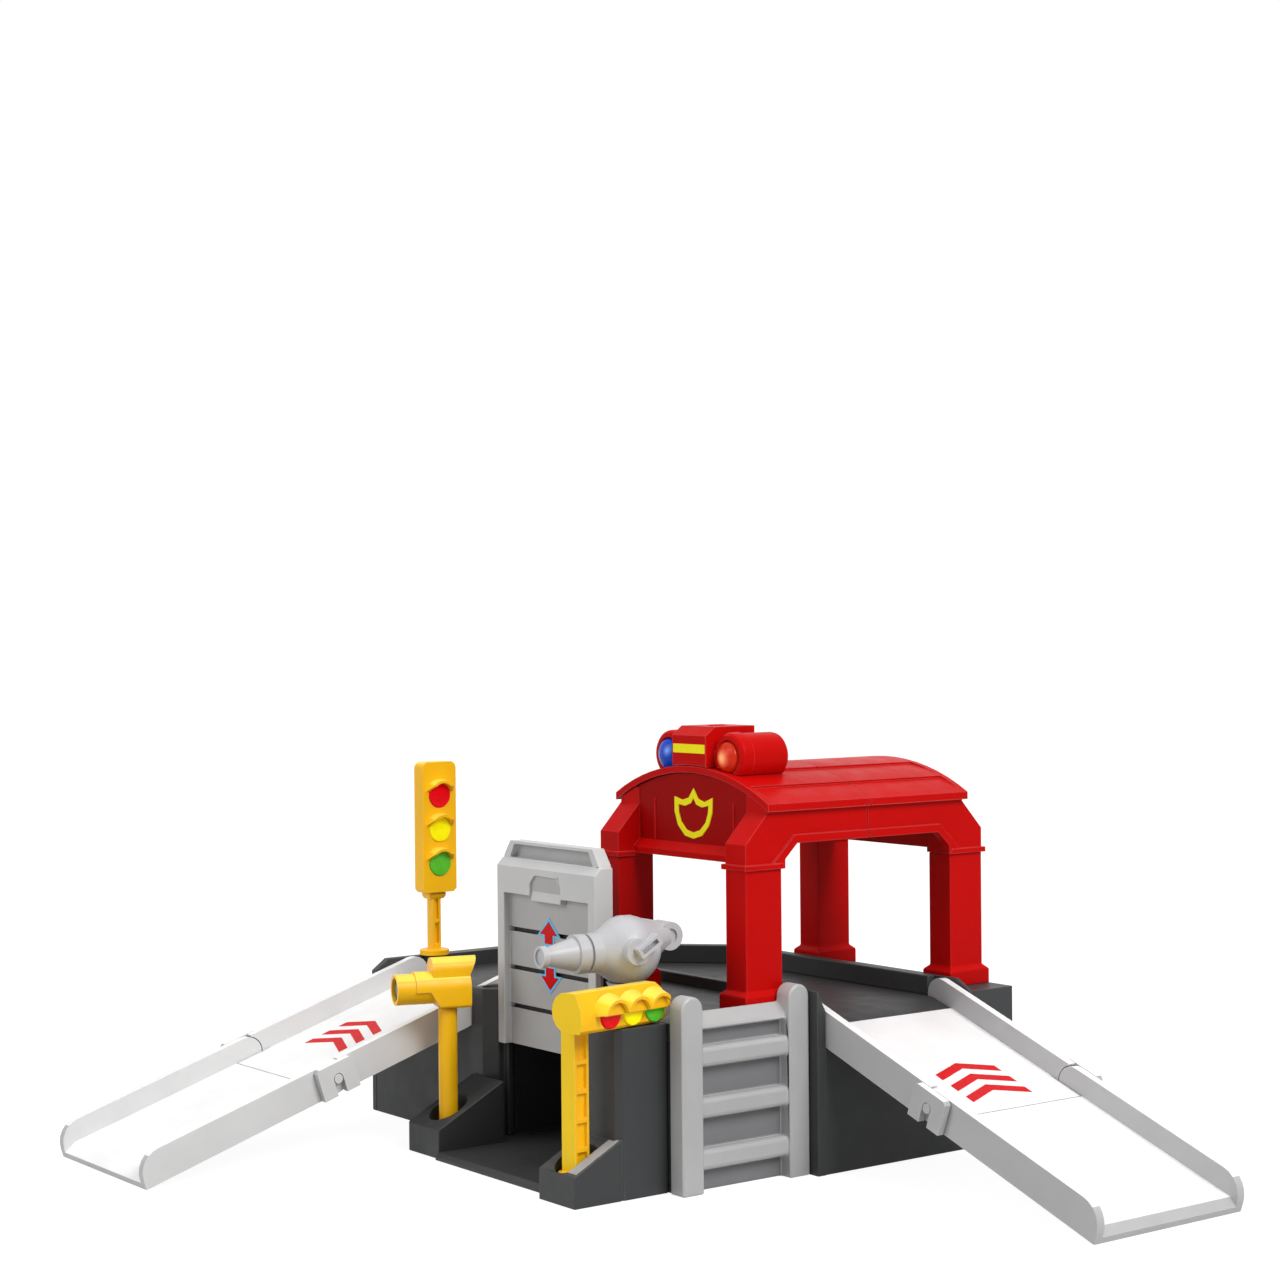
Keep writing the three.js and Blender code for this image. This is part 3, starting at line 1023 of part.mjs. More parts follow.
// Lamp unit: a hollow housing with two barrels, its lenses, lamps, circuit board, coin cell and button
function lampUnit() {
  const top = roofPeak + LAMP_BOX_TOP;
  const barrelZ = roofPeak + BARREL_AXIS;
  const back = LAMP_BOX_FRONT + LAMP_BOX_DEEP;
  const halfWide = LAMP_BOX_WIDE / 2;
  const boxOutline = (inset) => [
    [LAMP_BOX_FRONT + inset, roofCentre[1]], [back - inset, roofCentre[1]], [back - inset, top - inset],
    [LAMP_BOX_FRONT + LAMP_BOX_BEVEL_BACK + inset / 2, top - inset],
    [LAMP_BOX_FRONT + inset, top - LAMP_BOX_BEVEL_UP - inset / 2],
  ];
  const box = sidePrism(boxOutline(0), canopyMiddle - halfWide, canopyMiddle + halfWide);
  const hollow = sidePrism(boxOutline(LAMP_SKIN), canopyMiddle - halfWide + LAMP_SKIN,
    canopyMiddle + halfWide - LAMP_SKIN);
  const sides = [-1, 1];
  const barrelEnd = BARREL_FRONT + BARREL_LONG;
  const inner = BARREL_R - LAMP_SKIN;
  const lensBack = BARREL_FRONT + LENS_SET + LENS_THICK;
  const barrels = sides.map((s) => turned([
    [0, BARREL_FRONT], ...arc([BARREL_R - BARREL_NOSE, BARREL_FRONT + BARREL_NOSE], BARREL_NOSE, -90, 0,
      NOSE_STEPS),
    [BARREL_R, BARREL_FRONT + BARREL_RING], [BARREL_R - GAP, BARREL_FRONT + BARREL_RING + GAP],
    ...arc([BARREL_R - GAP - BARREL_ROUND, barrelEnd - BARREL_ROUND], BARREL_ROUND, 0, 90, EDGE_STEPS),
    [0, barrelEnd],
  ], 'y', [canopyMiddle + s * BARREL_OUT, 0, barrelZ], FINE_STEPS));
  const bores = sides.map((s) => turned([
    [0, BARREL_FRONT - OVER], [BEZEL_R + BEZEL_CHAMFER + OVER, BARREL_FRONT - OVER],
    [BEZEL_R, BARREL_FRONT + BEZEL_CHAMFER],
    [BEZEL_R, lensBack], [inner - 2 * GAP, lensBack], [inner - 2 * GAP, barrelEnd - LAMP_SKIN],
    [0, barrelEnd - LAMP_SKIN],
  ], 'y', [canopyMiddle + s * BARREL_OUT, 0, barrelZ], FINE_STEPS));
  const passage = block(
    [canopyMiddle - BARREL_OUT, lampMiddle, barrelZ - LED_R],
    [canopyMiddle + BARREL_OUT, lampMiddle + 2 * LED_R, barrelZ + LED_R]);
  const buttonY = LAMP_BOX_FRONT + BUTTON_BACK;
  const reach = CANOPY_WIDE;
  const below = frontPrism([
    ...roofArc(roofR + GAP, roofSpan), [canopyMiddle - reach, roofPeak - ROOF_RISE],
    [canopyMiddle - reach, roofPeak - roofR - reach], [canopyMiddle + reach, roofPeak - roofR - reach],
    [canopyMiddle + reach, roofPeak - ROOF_RISE],
  ], CANOPY_FRONT - reach, canopyBack + reach);
  const housing = cut(join(box, ...barrels), hollow, ...bores, passage,
    rod(BUTTON_R + GAP, top - LAMP_SKIN - OVER, top + OVER, 'z', [canopyMiddle, buttonY, 0]), below);
  station.add(piece('lamp_housing', housing, finishes.red));

  sides.forEach((s, i) => {
    const x = canopyMiddle + s * BARREL_OUT;
    const lensFront = BARREL_FRONT + LENS_SET;
    const r = BEZEL_R - GAP;
    const dome = Array.from({ length: DOME_STEPS + 1 }, (_, i) => {
      const turn = (Math.PI / 2) * (i / DOME_STEPS);
      return [i ? r * Math.sin(turn) : 0, lensFront - LENS_DOME * Math.cos(turn)];
    });
    const lens = cut(turned([...dome, [r, lensBack], [0, lensBack]], 'y', [x, 0, barrelZ], FINE_STEPS),
      below);
    const ledEnd = barrelEnd - LAMP_SKIN - GAP;
    const led = turned([
      [0, ledEnd - LED_LONG - LED_R], [LED_R * Math.SQRT1_2, ledEnd - LED_LONG - LED_R * Math.SQRT1_2],
      [LED_R, ledEnd - LED_LONG],
      [LED_R, ledEnd], [0, ledEnd],
    ], 'y', [x, 0, barrelZ], SMALL_STEPS);
    station.add(
      piece(['blue_lens', 'clear_lens'][i], lens, [finishes.blue, finishes.clear][i]),
      piece(['blue_lamp', 'amber_lamp'][i], led, [finishes.blue, finishes.clear][i]),
    );
  });

  const boardTop = top - BOARD_BELOW_TOP;
  const boardFront = lampMiddle - BOARD_DEEP / 2;
  const boardHalf = halfWide - LAMP_SKIN - GAP;
  const board = join(
    block([canopyMiddle - boardHalf, boardFront, boardTop - BOARD_THICK],
      [canopyMiddle + boardHalf, boardFront + BOARD_DEEP, boardTop]),
    block([canopyMiddle - LED_R, buttonY - LED_R, boardTop - BOARD_THICK],
      [canopyMiddle + LED_R, buttonY + LED_R, boardTop + LED_R]),
  );
  const cell = rod(CELL_R, roofPeak, roofPeak + CELL_THICK, 'z', [canopyMiddle, lampMiddle, 0], FINE_STEPS);
  const doorTop = roofPeak - GAP;
  const door = block(
    [canopyMiddle - HATCH_WIDE / 2 + GAP, lampMiddle - HATCH_DEEP / 2 + GAP, doorTop - HATCH_THICK],
    [canopyMiddle + HATCH_WIDE / 2 - GAP, lampMiddle + HATCH_DEEP / 2 - GAP, doorTop]);
  station.add(
    piece('circuit_board', board, finishes.board),
    piece('coin_cell', cell, finishes.metal),
    piece('battery_door', door, finishes.red),
  );

  const group = placed(new THREE.Group(), canopyMiddle, buttonY, top);
  const stemEnd = -(BOARD_BELOW_TOP - LED_R - GAP);
  const button = turned([
    [0, stemEnd + BUTTON_TRAVEL], [BUTTON_STEM_R, stemEnd + BUTTON_TRAVEL],
    [BUTTON_STEM_R, -LAMP_SKIN - GAP - BUTTON_FLANGE],
    [BUTTON_FLANGE_R, -LAMP_SKIN - GAP - BUTTON_FLANGE], [BUTTON_FLANGE_R, -LAMP_SKIN - GAP],
    [BUTTON_R, -LAMP_SKIN - GAP], [BUTTON_R, BUTTON_OUT - BUTTON_EDGE],
    [BUTTON_R - BUTTON_EDGE, BUTTON_OUT], [0, BUTTON_OUT],
  ], 'z', [0, 0, 0], MID_STEPS);
  group.add(piece('siren_button', button, finishes.red));
  station.add(group);
}

// Signal heads: a housing with three sunk lenses under hoods. u runs along the lens row, v across it.
function hoodedLens(radius, [x, y, z], out, lift, flare) {
  const inner = radius + GAP / 2;
  const rim = radius + HOOD_THICK;
  const root = rim + flare;
  const cone = turned([[0, x - OVER], [root, x - OVER], [rim, x + out], [0, x + out]], 'x', [0, y, z],
    MID_STEPS);
  const under = frontPrism([
    [x - 2 * OVER, z - root - OVER], [x + out + OVER, z - root - OVER],
    [x + out + OVER, z + lift], [x - 2 * OVER, z],
  ], y - root - OVER, y + root + OVER);
  const pocket = rod(inner, x - SIGNAL_LENS_SINK - GAP, x + out + OVER, 'x', [0, y, z], MID_STEPS);
  const lens = turned([
    [0, x - SIGNAL_LENS_SINK], [radius, x - SIGNAL_LENS_SINK],
    [radius, x + SIGNAL_LENS_THICK - SIGNAL_LENS_SINK],
    [0, x + SIGNAL_LENS_THICK - SIGNAL_LENS_SINK / 2],
  ], 'x', [0, y, z], MID_STEPS);
  return { hood: cut(cone, under), pocket, lens };
}

function ribbedPost(wide, deep, z0, z1) {
  const post = block([-deep / 2, -wide / 2, z0], [deep / 2, wide / 2, z1]);
  const bays = Math.floor((z1 - z0) / RIB_PITCH);
  const recesses = Array.from({ length: bays }, (_, i) => {
    const low = z1 - RIB_BAR - (i + 1) * RIB_PITCH + RIB_BAR;
    return block([deep / 2 - RIB_DEEP, -wide / 2 + RIB_SIDE, low],
      [deep / 2 + OVER, wide / 2 - RIB_SIDE, low + RIB_PITCH - RIB_BAR]);
  });
  return cut(post, ...recesses);
}

function addLenses(group, prefix, row) {
  const colours = [['red', finishes.stopLens], ['yellow', finishes.waitLens], ['green', finishes.goLens]];
  colours.forEach(([colour, material], i) => group.add(piece(`${prefix}_${colour}_lens`, row[i].lens,
    material)));
}

function tallSignal() {
  const seat = laneTop + LEFT_PARAPET_TALL;
  const group = placed(new THREE.Group(), left + TALL_POST_INSET, TALL_POST_BACK, seat);
  const postTop = TALL_POST - GAP;
  const collarSide = (wide) => [
    [-wide / 2 + SIGNAL_COLLAR_TAPER, postTop - SIGNAL_COLLAR],
    [wide / 2 - SIGNAL_COLLAR_TAPER, postTop - SIGNAL_COLLAR],
    [wide / 2, postTop - SIGNAL_COLLAR / 2], [wide / 2, postTop], [-wide / 2, postTop],
    [-wide / 2, postTop - SIGNAL_COLLAR / 2],
  ];
  const collar = sidePrism(collarSide(SIGNAL_COLLAR_WIDE), -SIGNAL_COLLAR_DEEP, SIGNAL_COLLAR_DEEP)
    .intersect(frontPrism(collarSide(SIGNAL_COLLAR_DEEP), -SIGNAL_COLLAR_WIDE, SIGNAL_COLLAR_WIDE));
  const post = join(
    ribbedPost(TALL_POST_WIDE, TALL_POST_DEEP, FLANGE - OVER / 2, postTop - SIGNAL_COLLAR / 2),
    collar,
    rod(FLANGE_R, 0, FLANGE, 'z', [0, 0, 0], FINE_STEPS),
    rod(TALL_POST_DEEP / 2 - 2 * PIN_PLAY, -FLANGE, OVER, 'z', [0, 0, 0], PIN_STEPS),
  );
  const face = SIGNAL_FACE_OUT;
  const half = SIGNAL_HEAD_WIDE / 2;
  const headTop = TALL_POST + SIGNAL_HEAD_TALL;
  const firstLens = headTop - SIGNAL_LENS_DOWN;
  const row = [0, 1, 2].map((i) => hoodedLens(
    SIGNAL_LENS_R, [face, 0, firstLens - i * SIGNAL_LENS_PITCH], TALL_HOOD_OUT, TALL_HOOD_LIFT,
      TALL_HOOD_FLARE));
  const shell = sidePrism([
    [-half + SIGNAL_ROUND / 2, TALL_POST], [half - SIGNAL_ROUND / 2, TALL_POST],
    [half, TALL_POST + SIGNAL_ROUND / 2],
    ...arc([half - SIGNAL_ROUND, headTop - SIGNAL_ROUND], SIGNAL_ROUND, 0, 90, CORNER_STEPS),
    ...arc([-half + SIGNAL_ROUND, headTop - SIGNAL_ROUND], SIGNAL_ROUND, 90, 180, CORNER_STEPS),
    [-half, TALL_POST + SIGNAL_ROUND / 2],
  ], face - SIGNAL_HEAD_DEEP, face);
  const head = cut(join(shell, ...row.map((r) => r.hood)), ...row.map((r) => r.pocket));
  group.add(piece('tall_signal_post', post, finishes.yellow),
    piece('tall_signal_head', head, finishes.yellow));
  addLenses(group, 'tall_signal', row);
  station.add(group);
}

function lowSignal() {
  const group = placed(new THREE.Group(), -LOW_POST_LEFT, LOW_POST_BACK, 0);
  group.rotation.z = radians(LOW_YAW);
  const foot = SOCKET_FLOOR + GAP;
  const low = DECK_TOP + GAP;
  const post = join(
    ribbedPost(LOW_POST_WIDE, LOW_POST_WIDE, foot, low - GAP),
    rod(FLANGE_R, foot, foot + FLANGE, 'z', [0, 0, 0], MID_STEPS),
  );
  const face = LOW_HEAD_OUT;
  const round = LOW_HEAD_TALL / 2;
  const end = LOW_HEAD_LONG - LOW_HEAD_FRONT;
  const high = low + LOW_HEAD_TALL;
  const body = frontPrism([
    [face - OVER, low], [face, low + OVER], [face, low + LOW_HEAD_CHEEK],
    [face - LOW_HEAD_SLANT, low + LOW_HEAD_TALL],
    ...arc([face - LOW_HEAD_DEEP + round, low + round], round, 90, 270, 2 * CORNER_STEPS),
  ], -LOW_HEAD_FRONT, end);
  const corners = [[high + OVER, high - LOW_HEAD_END_CUT],
    [low - OVER, low + LOW_HEAD_END_CUT]].map(([z0, z1]) => (
    sidePrism([[end - LOW_HEAD_END_CUT, z0], [end + OVER, z1], [end + OVER, z0]], -LOW_HEAD_DEEP,
      face + LOW_HOOD_OUT)));
  const firstLens = LOW_LENS_FIRST - LOW_HEAD_FRONT;
  const row = [0, 1, 2].map((i) => hoodedLens(
    LOW_LENS_R, [face, firstLens + i * LOW_LENS_PITCH, low + LOW_LENS_UP], LOW_HOOD_OUT, LOW_HOOD_LIFT,
      LOW_HOOD_FLARE));
  const past = block([face + OVER, end - LOW_HOOD_SHORT, low - OVER],
    [face + 2 * LOW_HOOD_OUT, 2 * end, high + OVER]);
  const head = cut(join(body, ...row.map((r) => r.hood)), ...row.map((r) => r.pocket), ...corners, past);
  group.add(piece('low_signal_post', post, finishes.yellow), piece('low_signal_head', head, finishes.yellow));
  addLenses(group, 'low_signal', row);
  station.add(group);
}

// Surveillance camera: a fixed post and a head that turns on it. The head looks along its own -Y.
function camera() {
  const foot = SOCKET_FLOOR + GAP;
  const post = join(
    rod(CAMERA_POST_R, foot, CAMERA_POST_TOP, 'z', [cameraX, CAMERA_BACK, 0], MID_STEPS),
    rod(FLANGE_R, foot, foot + FLANGE, 'z', [cameraX, CAMERA_BACK, 0], MID_STEPS),
  );
  station.add(piece('camera_post', post, finishes.yellow));
  const group = placed(new THREE.Group(), cameraX, CAMERA_BACK, CAMERA_POST_TOP + GAP);
  group.rotation.z = radians(CAMERA_YAW);
  const half = CAMERA_BODY_WIDE / 2;
  const r = CAMERA_BODY_ROUND;
  const body = frontPrism([
    ...arc([half - r, r], r, -90, 0, EDGE_STEPS),
    ...arc([0, CAMERA_BODY_TALL - half], half, 0, 180, END_STEPS),
    ...arc([-half + r, r], r, 180, 270, EDGE_STEPS),
  ], -CAMERA_BODY_FRONT, CAMERA_BODY_BACK);
  const chin = sidePrism([
    [-CAMERA_BODY_FRONT - OVER, CAMERA_CHIN_UP], [-CAMERA_BODY_FRONT - OVER, -OVER], [-CAMERA_CHIN_BACK, -OVER],
    [-CAMERA_CHIN_BACK, 0], [-CAMERA_CHIN_FRONT, CAMERA_CHIN_UP],
  ], -half - OVER, half + OVER);
  const barrelFront = -CAMERA_BARREL_FRONT;
  const barrel = rod(CAMERA_BARREL_R, barrelFront, 0, 'y', [0, 0, CAMERA_AXIS], FINE_STEPS);
  const well = rod(CAMERA_GLASS_R + GAP / 2, barrelFront - OVER,
    barrelFront + CAMERA_GLASS_SET + CAMERA_GLASS_THICK + GAP, 'y', [0, 0, CAMERA_AXIS], FINE_STEPS);
  const arch = frontPrism([
    [-CAMERA_HOOD_HALF, CAMERA_HOOD_LOW - OVER], [CAMERA_HOOD_HALF, CAMERA_HOOD_LOW - OVER],
    ...arc([0, CAMERA_HOOD_TOP - CAMERA_HOOD_HALF], CAMERA_HOOD_HALF, 0, 180, END_STEPS),
  ], -CAMERA_HOOD_FRONT, CAMERA_HOOD_BACK);
  const slant = sidePrism([
    [CAMERA_HOOD_FOOT, -OVER], [CAMERA_HOOD_BACK + OVER, -OVER], [CAMERA_HOOD_BACK + OVER, CAMERA_HOOD_TOP],
    [CAMERA_HOOD_BACK, CAMERA_HOOD_TOP], [CAMERA_HOOD_FOOT, CAMERA_HOOD_LOW],
  ], -half, half);
  const glassFront = barrelFront + CAMERA_GLASS_SET;
  const glass = turned([[0, glassFront - CAMERA_GLASS_SET / 2],
    [CAMERA_GLASS_R / 2, glassFront - CAMERA_GLASS_SET / 3],
    [CAMERA_GLASS_R, glassFront], [CAMERA_GLASS_R, glassFront + CAMERA_GLASS_THICK],
    [0, glassFront + CAMERA_GLASS_THICK]],
  'y', [0, 0, CAMERA_AXIS], FINE_STEPS);
  group.add(
    piece('camera_head', cut(join(cut(body, chin), barrel, cut(arch, slant)), well), finishes.yellow),
    piece('camera_glass', glass, finishes.black),
  );
  station.add(group);
}

// Ramps, drawn level with the pivot at the origin, +X downhill and Z square to the floor
function ramp(side, slope, upperLong, pivotZ) {
  const half = rampWide / 2;
  const inner = CHANNEL / 2;
  const tilt = radians(slope);
  const floorTop = -FLOOR_BELOW_AXIS;
  const floorStart = LANE_TO_FLOOR + GAP;
  const tongueEnd = upperLong + TONGUE_PAST_PIN;
  const total = (pivotZ - railR * Math.cos(tilt)) / Math.sin(tilt);
  const railAt = (s, outline) => frontPrism(outline, s > 0 ? inner : -half, s > 0 ? half : -inner);
  const sides = [-1, 1];
  const between = (s, from, to) => (s > 0 ? [from, to] : [-to, -from]);

  const upperRail = [...arc([0, 0], railR, 90, 270, END_STEPS), [upperLong - HORN, -railR],
    [upperLong - HORN, railR]];
  const jaw = (s) => rod(railR + GAP, ...between(s, inner - OVER, half + OVER), 'y', [upperLong, 0, 0],
    FINE_STEPS);
  const upperParts = [
    block([floorStart, -inner - OVER, floorTop - RAMP_FLOOR],
      [upperLong - railR - HORN, inner + OVER, floorTop]),
    block([upperLong - railR - HORN - OVER, -inner + GAP, floorTop - RAMP_FLOOR],
      [tongueEnd, inner - GAP, floorTop]),
    ...sides.map((s) => cut(railAt(s, upperRail), jaw(s))),
    ...sides.map((s) => rod(PIVOT_PIN_R, ...between(s, half - OVER, half + PIVOT_PIN_LONG), 'y', [0, 0, 0],
      PIN_STEPS)),
  ];
  for (const s of sides) {
    const [y0, y1] = between(s, half, half + CLIP_OUT);
    const clipHalf = CLIP_LONG / 2;
    const plate = frontPrism([
      [upperLong - clipHalf, -railR], [upperLong + clipHalf, -railR], [upperLong + clipHalf, railR - OVER],
      [upperLong + clipHalf - OVER, railR], [upperLong - clipHalf + OVER, railR],
      [upperLong - clipHalf, railR - OVER],
    ], ...between(s, half + GAP, half + CLIP_OUT));
    const link = cut(frontPrism(
      rectangle(upperLong - clipHalf, -railR, upperLong - HORN, railR - OVER),
      ...between(s, half - OVER, half + GAP + OVER)), jaw(s));
    const play = CLIP_PIN_R + CLIP_PIN_PLAY;
    const slot = frontPrism([...arc([upperLong, 0], play, 0, 180, END_STEPS),
      [upperLong - play, -railR - OVER],
      [upperLong + play, -railR - OVER]], y0 - OVER, y1 + OVER);
    upperParts.push(link, cut(plate, slot));
  }
  const upper = join(...upperParts);

  const end = total - upperLong;
  const lowerRail = [...arc([0, 0], railR, 90, 270, END_STEPS), [end, -railR], [end, -railR + RAMP_FLOOR],
    ...arc([end - FOOT_ROUND, railR - FOOT_ROUND], FOOT_ROUND, 0, 90, FOOT_STEPS)];
  const floorUnder = floorTop - RAMP_FLOOR;
  const lowerFloor = frontPrism([
    [TONGUE_PAST_PIN + GAP, floorUnder], [end - FOOT_ROUND, floorUnder], [end - FOOT_ROUND, -railR],
    [end, -railR],
    [end, -railR + RAMP_FLOOR], [end - (railR - FLOOR_BELOW_AXIS) / Math.tan(tilt) + FOOT_ROUND, floorTop],
    [TONGUE_PAST_PIN + GAP, floorTop],
  ], -inner - OVER, inner + OVER);
  const lower = join(
    lowerFloor,
    ...sides.map((s) => railAt(s, lowerRail)),
    ...sides.map((s) => rod(CLIP_PIN_R, ...between(s, half - OVER, half + CLIP_OUT), 'y', [0, 0, 0],
      PIN_STEPS)),
  );

  const whole = new THREE.Group();
  const lowerGroup = placed(new THREE.Group(), upperLong, 0, 0);
  lowerGroup.add(piece(`${side}_ramp_lower`, lower, finishes.white));
  whole.add(piece(`${side}_ramp_upper`, upper, finishes.white), lowerGroup);
  whole.rotation.y = tilt;
  return { whole, total };
}

const walls = baseWalls();
piers();
cheekPost();
interior(walls);
decks(walls);
ladder();
garageDoor();
cannon();
posts();
canopy();
lampUnit();
tallSignal();
lowSignal();
camera();

const rightRamp = ramp('right', RIGHT_SLOPE, RIGHT_UPPER, rightPivotZ);
station.add(placed(new THREE.Group().add(rightRamp.whole), RIGHT_PIVOT_X, rightRampMiddle, rightPivotZ));
const leftRamp = ramp('left', LEFT_SLOPE, LEFT_UPPER, leftPivotZ);
const leftTurn = placed(new THREE.Group().add(leftRamp.whole), leftRampMiddle, LEFT_PIVOT_Y, leftPivotZ);
leftTurn.rotation.z = -Math.PI / 2;
station.add(leftTurn);

// The origin: the middle of the toy's outline on the table
function footReach(slope, total) {
  const tilt = radians(slope);
  return (total - FOOT_ROUND) * Math.cos(tilt) + (railR - FOOT_ROUND) * Math.sin(tilt) + FOOT_ROUND;
}

const rightEnd = RIGHT_PIVOT_X + footReach(RIGHT_SLOPE, rightRamp.total);
const frontEnd = LEFT_PIVOT_Y - footReach(LEFT_SLOPE, leftRamp.total);
const leftEdge = left + TALL_POST_INSET - Math.max(FLANGE_R, TALL_POST_INSET);
station.position.set(-(leftEdge + rightEnd) / 2, -(frontEnd + baseBack) / 2, 0);

const fireStation = new THREE.Group();
fireStation.name = 'toy_fire_station';
fireStation.add(station);

export default fireStation;
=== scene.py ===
"""Looks of the toy fire station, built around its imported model.

Lengths are in millimetres in the part's own working datum: the outer corner of the right front foot on the
table, X along the garage front, Y back, Z up.
"""

import math

import bmesh
import bpy
from mathutils import Matrix, Vector


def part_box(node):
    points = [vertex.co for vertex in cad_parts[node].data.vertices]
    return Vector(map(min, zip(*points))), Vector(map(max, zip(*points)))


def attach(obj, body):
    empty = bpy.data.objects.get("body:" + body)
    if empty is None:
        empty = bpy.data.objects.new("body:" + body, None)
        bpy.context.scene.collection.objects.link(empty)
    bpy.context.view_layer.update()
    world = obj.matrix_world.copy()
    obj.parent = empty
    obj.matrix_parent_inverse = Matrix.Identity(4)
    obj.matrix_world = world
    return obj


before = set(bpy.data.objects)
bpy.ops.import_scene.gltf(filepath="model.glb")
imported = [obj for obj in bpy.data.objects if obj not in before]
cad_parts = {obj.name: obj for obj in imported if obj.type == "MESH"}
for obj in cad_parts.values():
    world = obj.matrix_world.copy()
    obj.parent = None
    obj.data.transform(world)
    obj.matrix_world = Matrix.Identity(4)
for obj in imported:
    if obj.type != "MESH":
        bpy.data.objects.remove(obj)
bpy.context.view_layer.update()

MM = 0.001
pier_low, pier_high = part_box("corner_pier")
DATUM = Vector((pier_high.x, pier_low.y, 0))


def at(x, y, z):
    return DATUM + Vector((x, y, z)) * MM


# Camera
PHOTO_SIDE = 1280
FOCAL_PIXELS = 2445.5
SENSOR = 36
CAMERA_AT = (605.33, -427.90, 176.3)
CAMERA_AZIMUTH = 53.094
CAMERA_PITCH = 0.267
CAMERA_ROLL = -0.490


def add_camera():
    azimuth, pitch, roll = (math.radians(a) for a in (CAMERA_AZIMUTH, CAMERA_PITCH, CAMERA_ROLL))
    level = math.cos(pitch)
    back = Vector((math.sin(azimuth) * level, -math.cos(azimuth) * level, math.sin(pitch)))
    right = (-back).cross(Vector((0, 0, 1))).normalized()
    up = right.cross(-back)
    turned_right = right * math.cos(roll) + up * math.sin(roll)
    turned_up = up * math.cos(roll) - right * math.sin(roll)
    data = bpy.data.cameras.new("camera")
    data.sensor_width = SENSOR
    data.lens = SENSOR * FOCAL_PIXELS / PHOTO_SIDE
    camera = bpy.data.objects.new("camera", data)
    bpy.context.scene.collection.objects.link(camera)
    turn = Matrix((turned_right, turned_up, back)).transposed().to_4x4()
    camera.matrix_world = Matrix.Translation(at(*CAMERA_AT)) @ turn
    bpy.context.scene.camera = camera


# Material helpers
MIX_FACTOR = 0
MIX_A = 6
MIX_B = 7
MIX_RESULT = 2
EDGE_REACH = 0.0005
EDGE_SAMPLES = 4
EDGE_SHARP = 0.6
EDGE_FLAT = 0.97


def linear(code):
    channels = [int(code[i:i + 2], 16) / 255 for i in (0, 2, 4)]
    return tuple(c / 12.92 if c <= 0.04045 else ((c + 0.055) / 1.055) ** 2.4 for c in channels) + (1.0,)


def scaled(colour, factor):
    return tuple(min(1.0, c * factor) for c in colour[:3]) + (1.0,)


class Paint:
    """A material's node tree with short helpers."""

    def __init__(self, name):
        self.material = bpy.data.materials.new(name)
        self.material.use_nodes = True
        self.nodes = self.material.node_tree.nodes
        self.links = self.material.node_tree.links
        self.shader = self.nodes["Principled BSDF"]
        self.place = self.nodes.new("ShaderNodeTexCoord").outputs["Object"]

    def link(self, source, socket):
        self.links.new(source, self.shader.inputs[socket] if isinstance(socket, str) else socket)

    def set(self, socket, value):
        self.shader.inputs[socket].default_value = value

    def noise(self, scale, detail, roughness):
        node = self.nodes.new("ShaderNodeTexNoise")
        node.inputs["Scale"].default_value = scale
        node.inputs["Detail"].default_value = detail
        node.inputs["Roughness"].default_value = roughness
        self.link(self.place, node.inputs["Vector"])
        return node.outputs["Fac"]

    def between(self, value, low, high, low_in=0.3, high_in=0.7):
        node = self.nodes.new("ShaderNodeMapRange")
        node.inputs["From Min"].default_value = low_in
        node.inputs["From Max"].default_value = high_in
        node.inputs["To Min"].default_value = low
        node.inputs["To Max"].default_value = high
        self.link(value, node.inputs["Value"])
        return node.outputs["Result"]

    def mix(self, factor, a, b):
        node = self.nodes.new("ShaderNodeMix")
        node.data_type = "RGBA"
        for value, index in ((factor, MIX_FACTOR), (a, MIX_A), (b, MIX_B)):
            if isinstance(value, bpy.types.NodeSocket):
                self.link(value, node.inputs[index])
            else:
                node.inputs[index].default_value = value
        return node.outputs[MIX_RESULT]

    def bump(self, height, strength, distance, normal=None):
        node = self.nodes.new("ShaderNodeBump")
        node.inputs["Strength"].default_value = strength
        node.inputs["Distance"].default_value = distance
        self.link(height, node.inputs["Height"])
        if normal is not None:
            self.link(normal, node.inputs["Normal"])
        return node.outputs["Normal"]

    def edges(self):
        """1 along convex and concave edges, 0 on the faces between them."""
        bevel = self.nodes.new("ShaderNodeBevel")
        bevel.samples = EDGE_SAMPLES
        bevel.inputs["Radius"].default_value = EDGE_REACH
        geometry = self.nodes.new("ShaderNodeNewGeometry")
        dot = self.nodes.new("ShaderNodeVectorMath")
        dot.operation = "DOT_PRODUCT"
        self.link(bevel.outputs["Normal"], dot.inputs[0])
        self.link(geometry.outputs["True Normal"], dot.inputs[1])
        return self.between(dot.outputs["Value"], 1.0, 0.0, EDGE_SHARP, EDGE_FLAT)


# Moulded plastic: each noise is (scale, detail, roughness), distances are in metres
FLOW_NOISE = (38, 4, 0.6)
FLOW_TINT = 0.05
GLOSS_NOISE = (140, 3, 0.6)
GLOSS_BELOW = 0.05
GLOSS_ABOVE = 0.07
GRAIN_NOISE = (2600, 2, 0.6)
GRAIN_DEEP = 0.00012
WAVE_NOISE = (60, 1, 0.4)
WAVE_STRENGTH = 0.08
WAVE_DEEP = 0.0006
SCATTER_RADIUS = (0.0012, 0.0006, 0.0003)
PLASTIC_IOR = 1.5


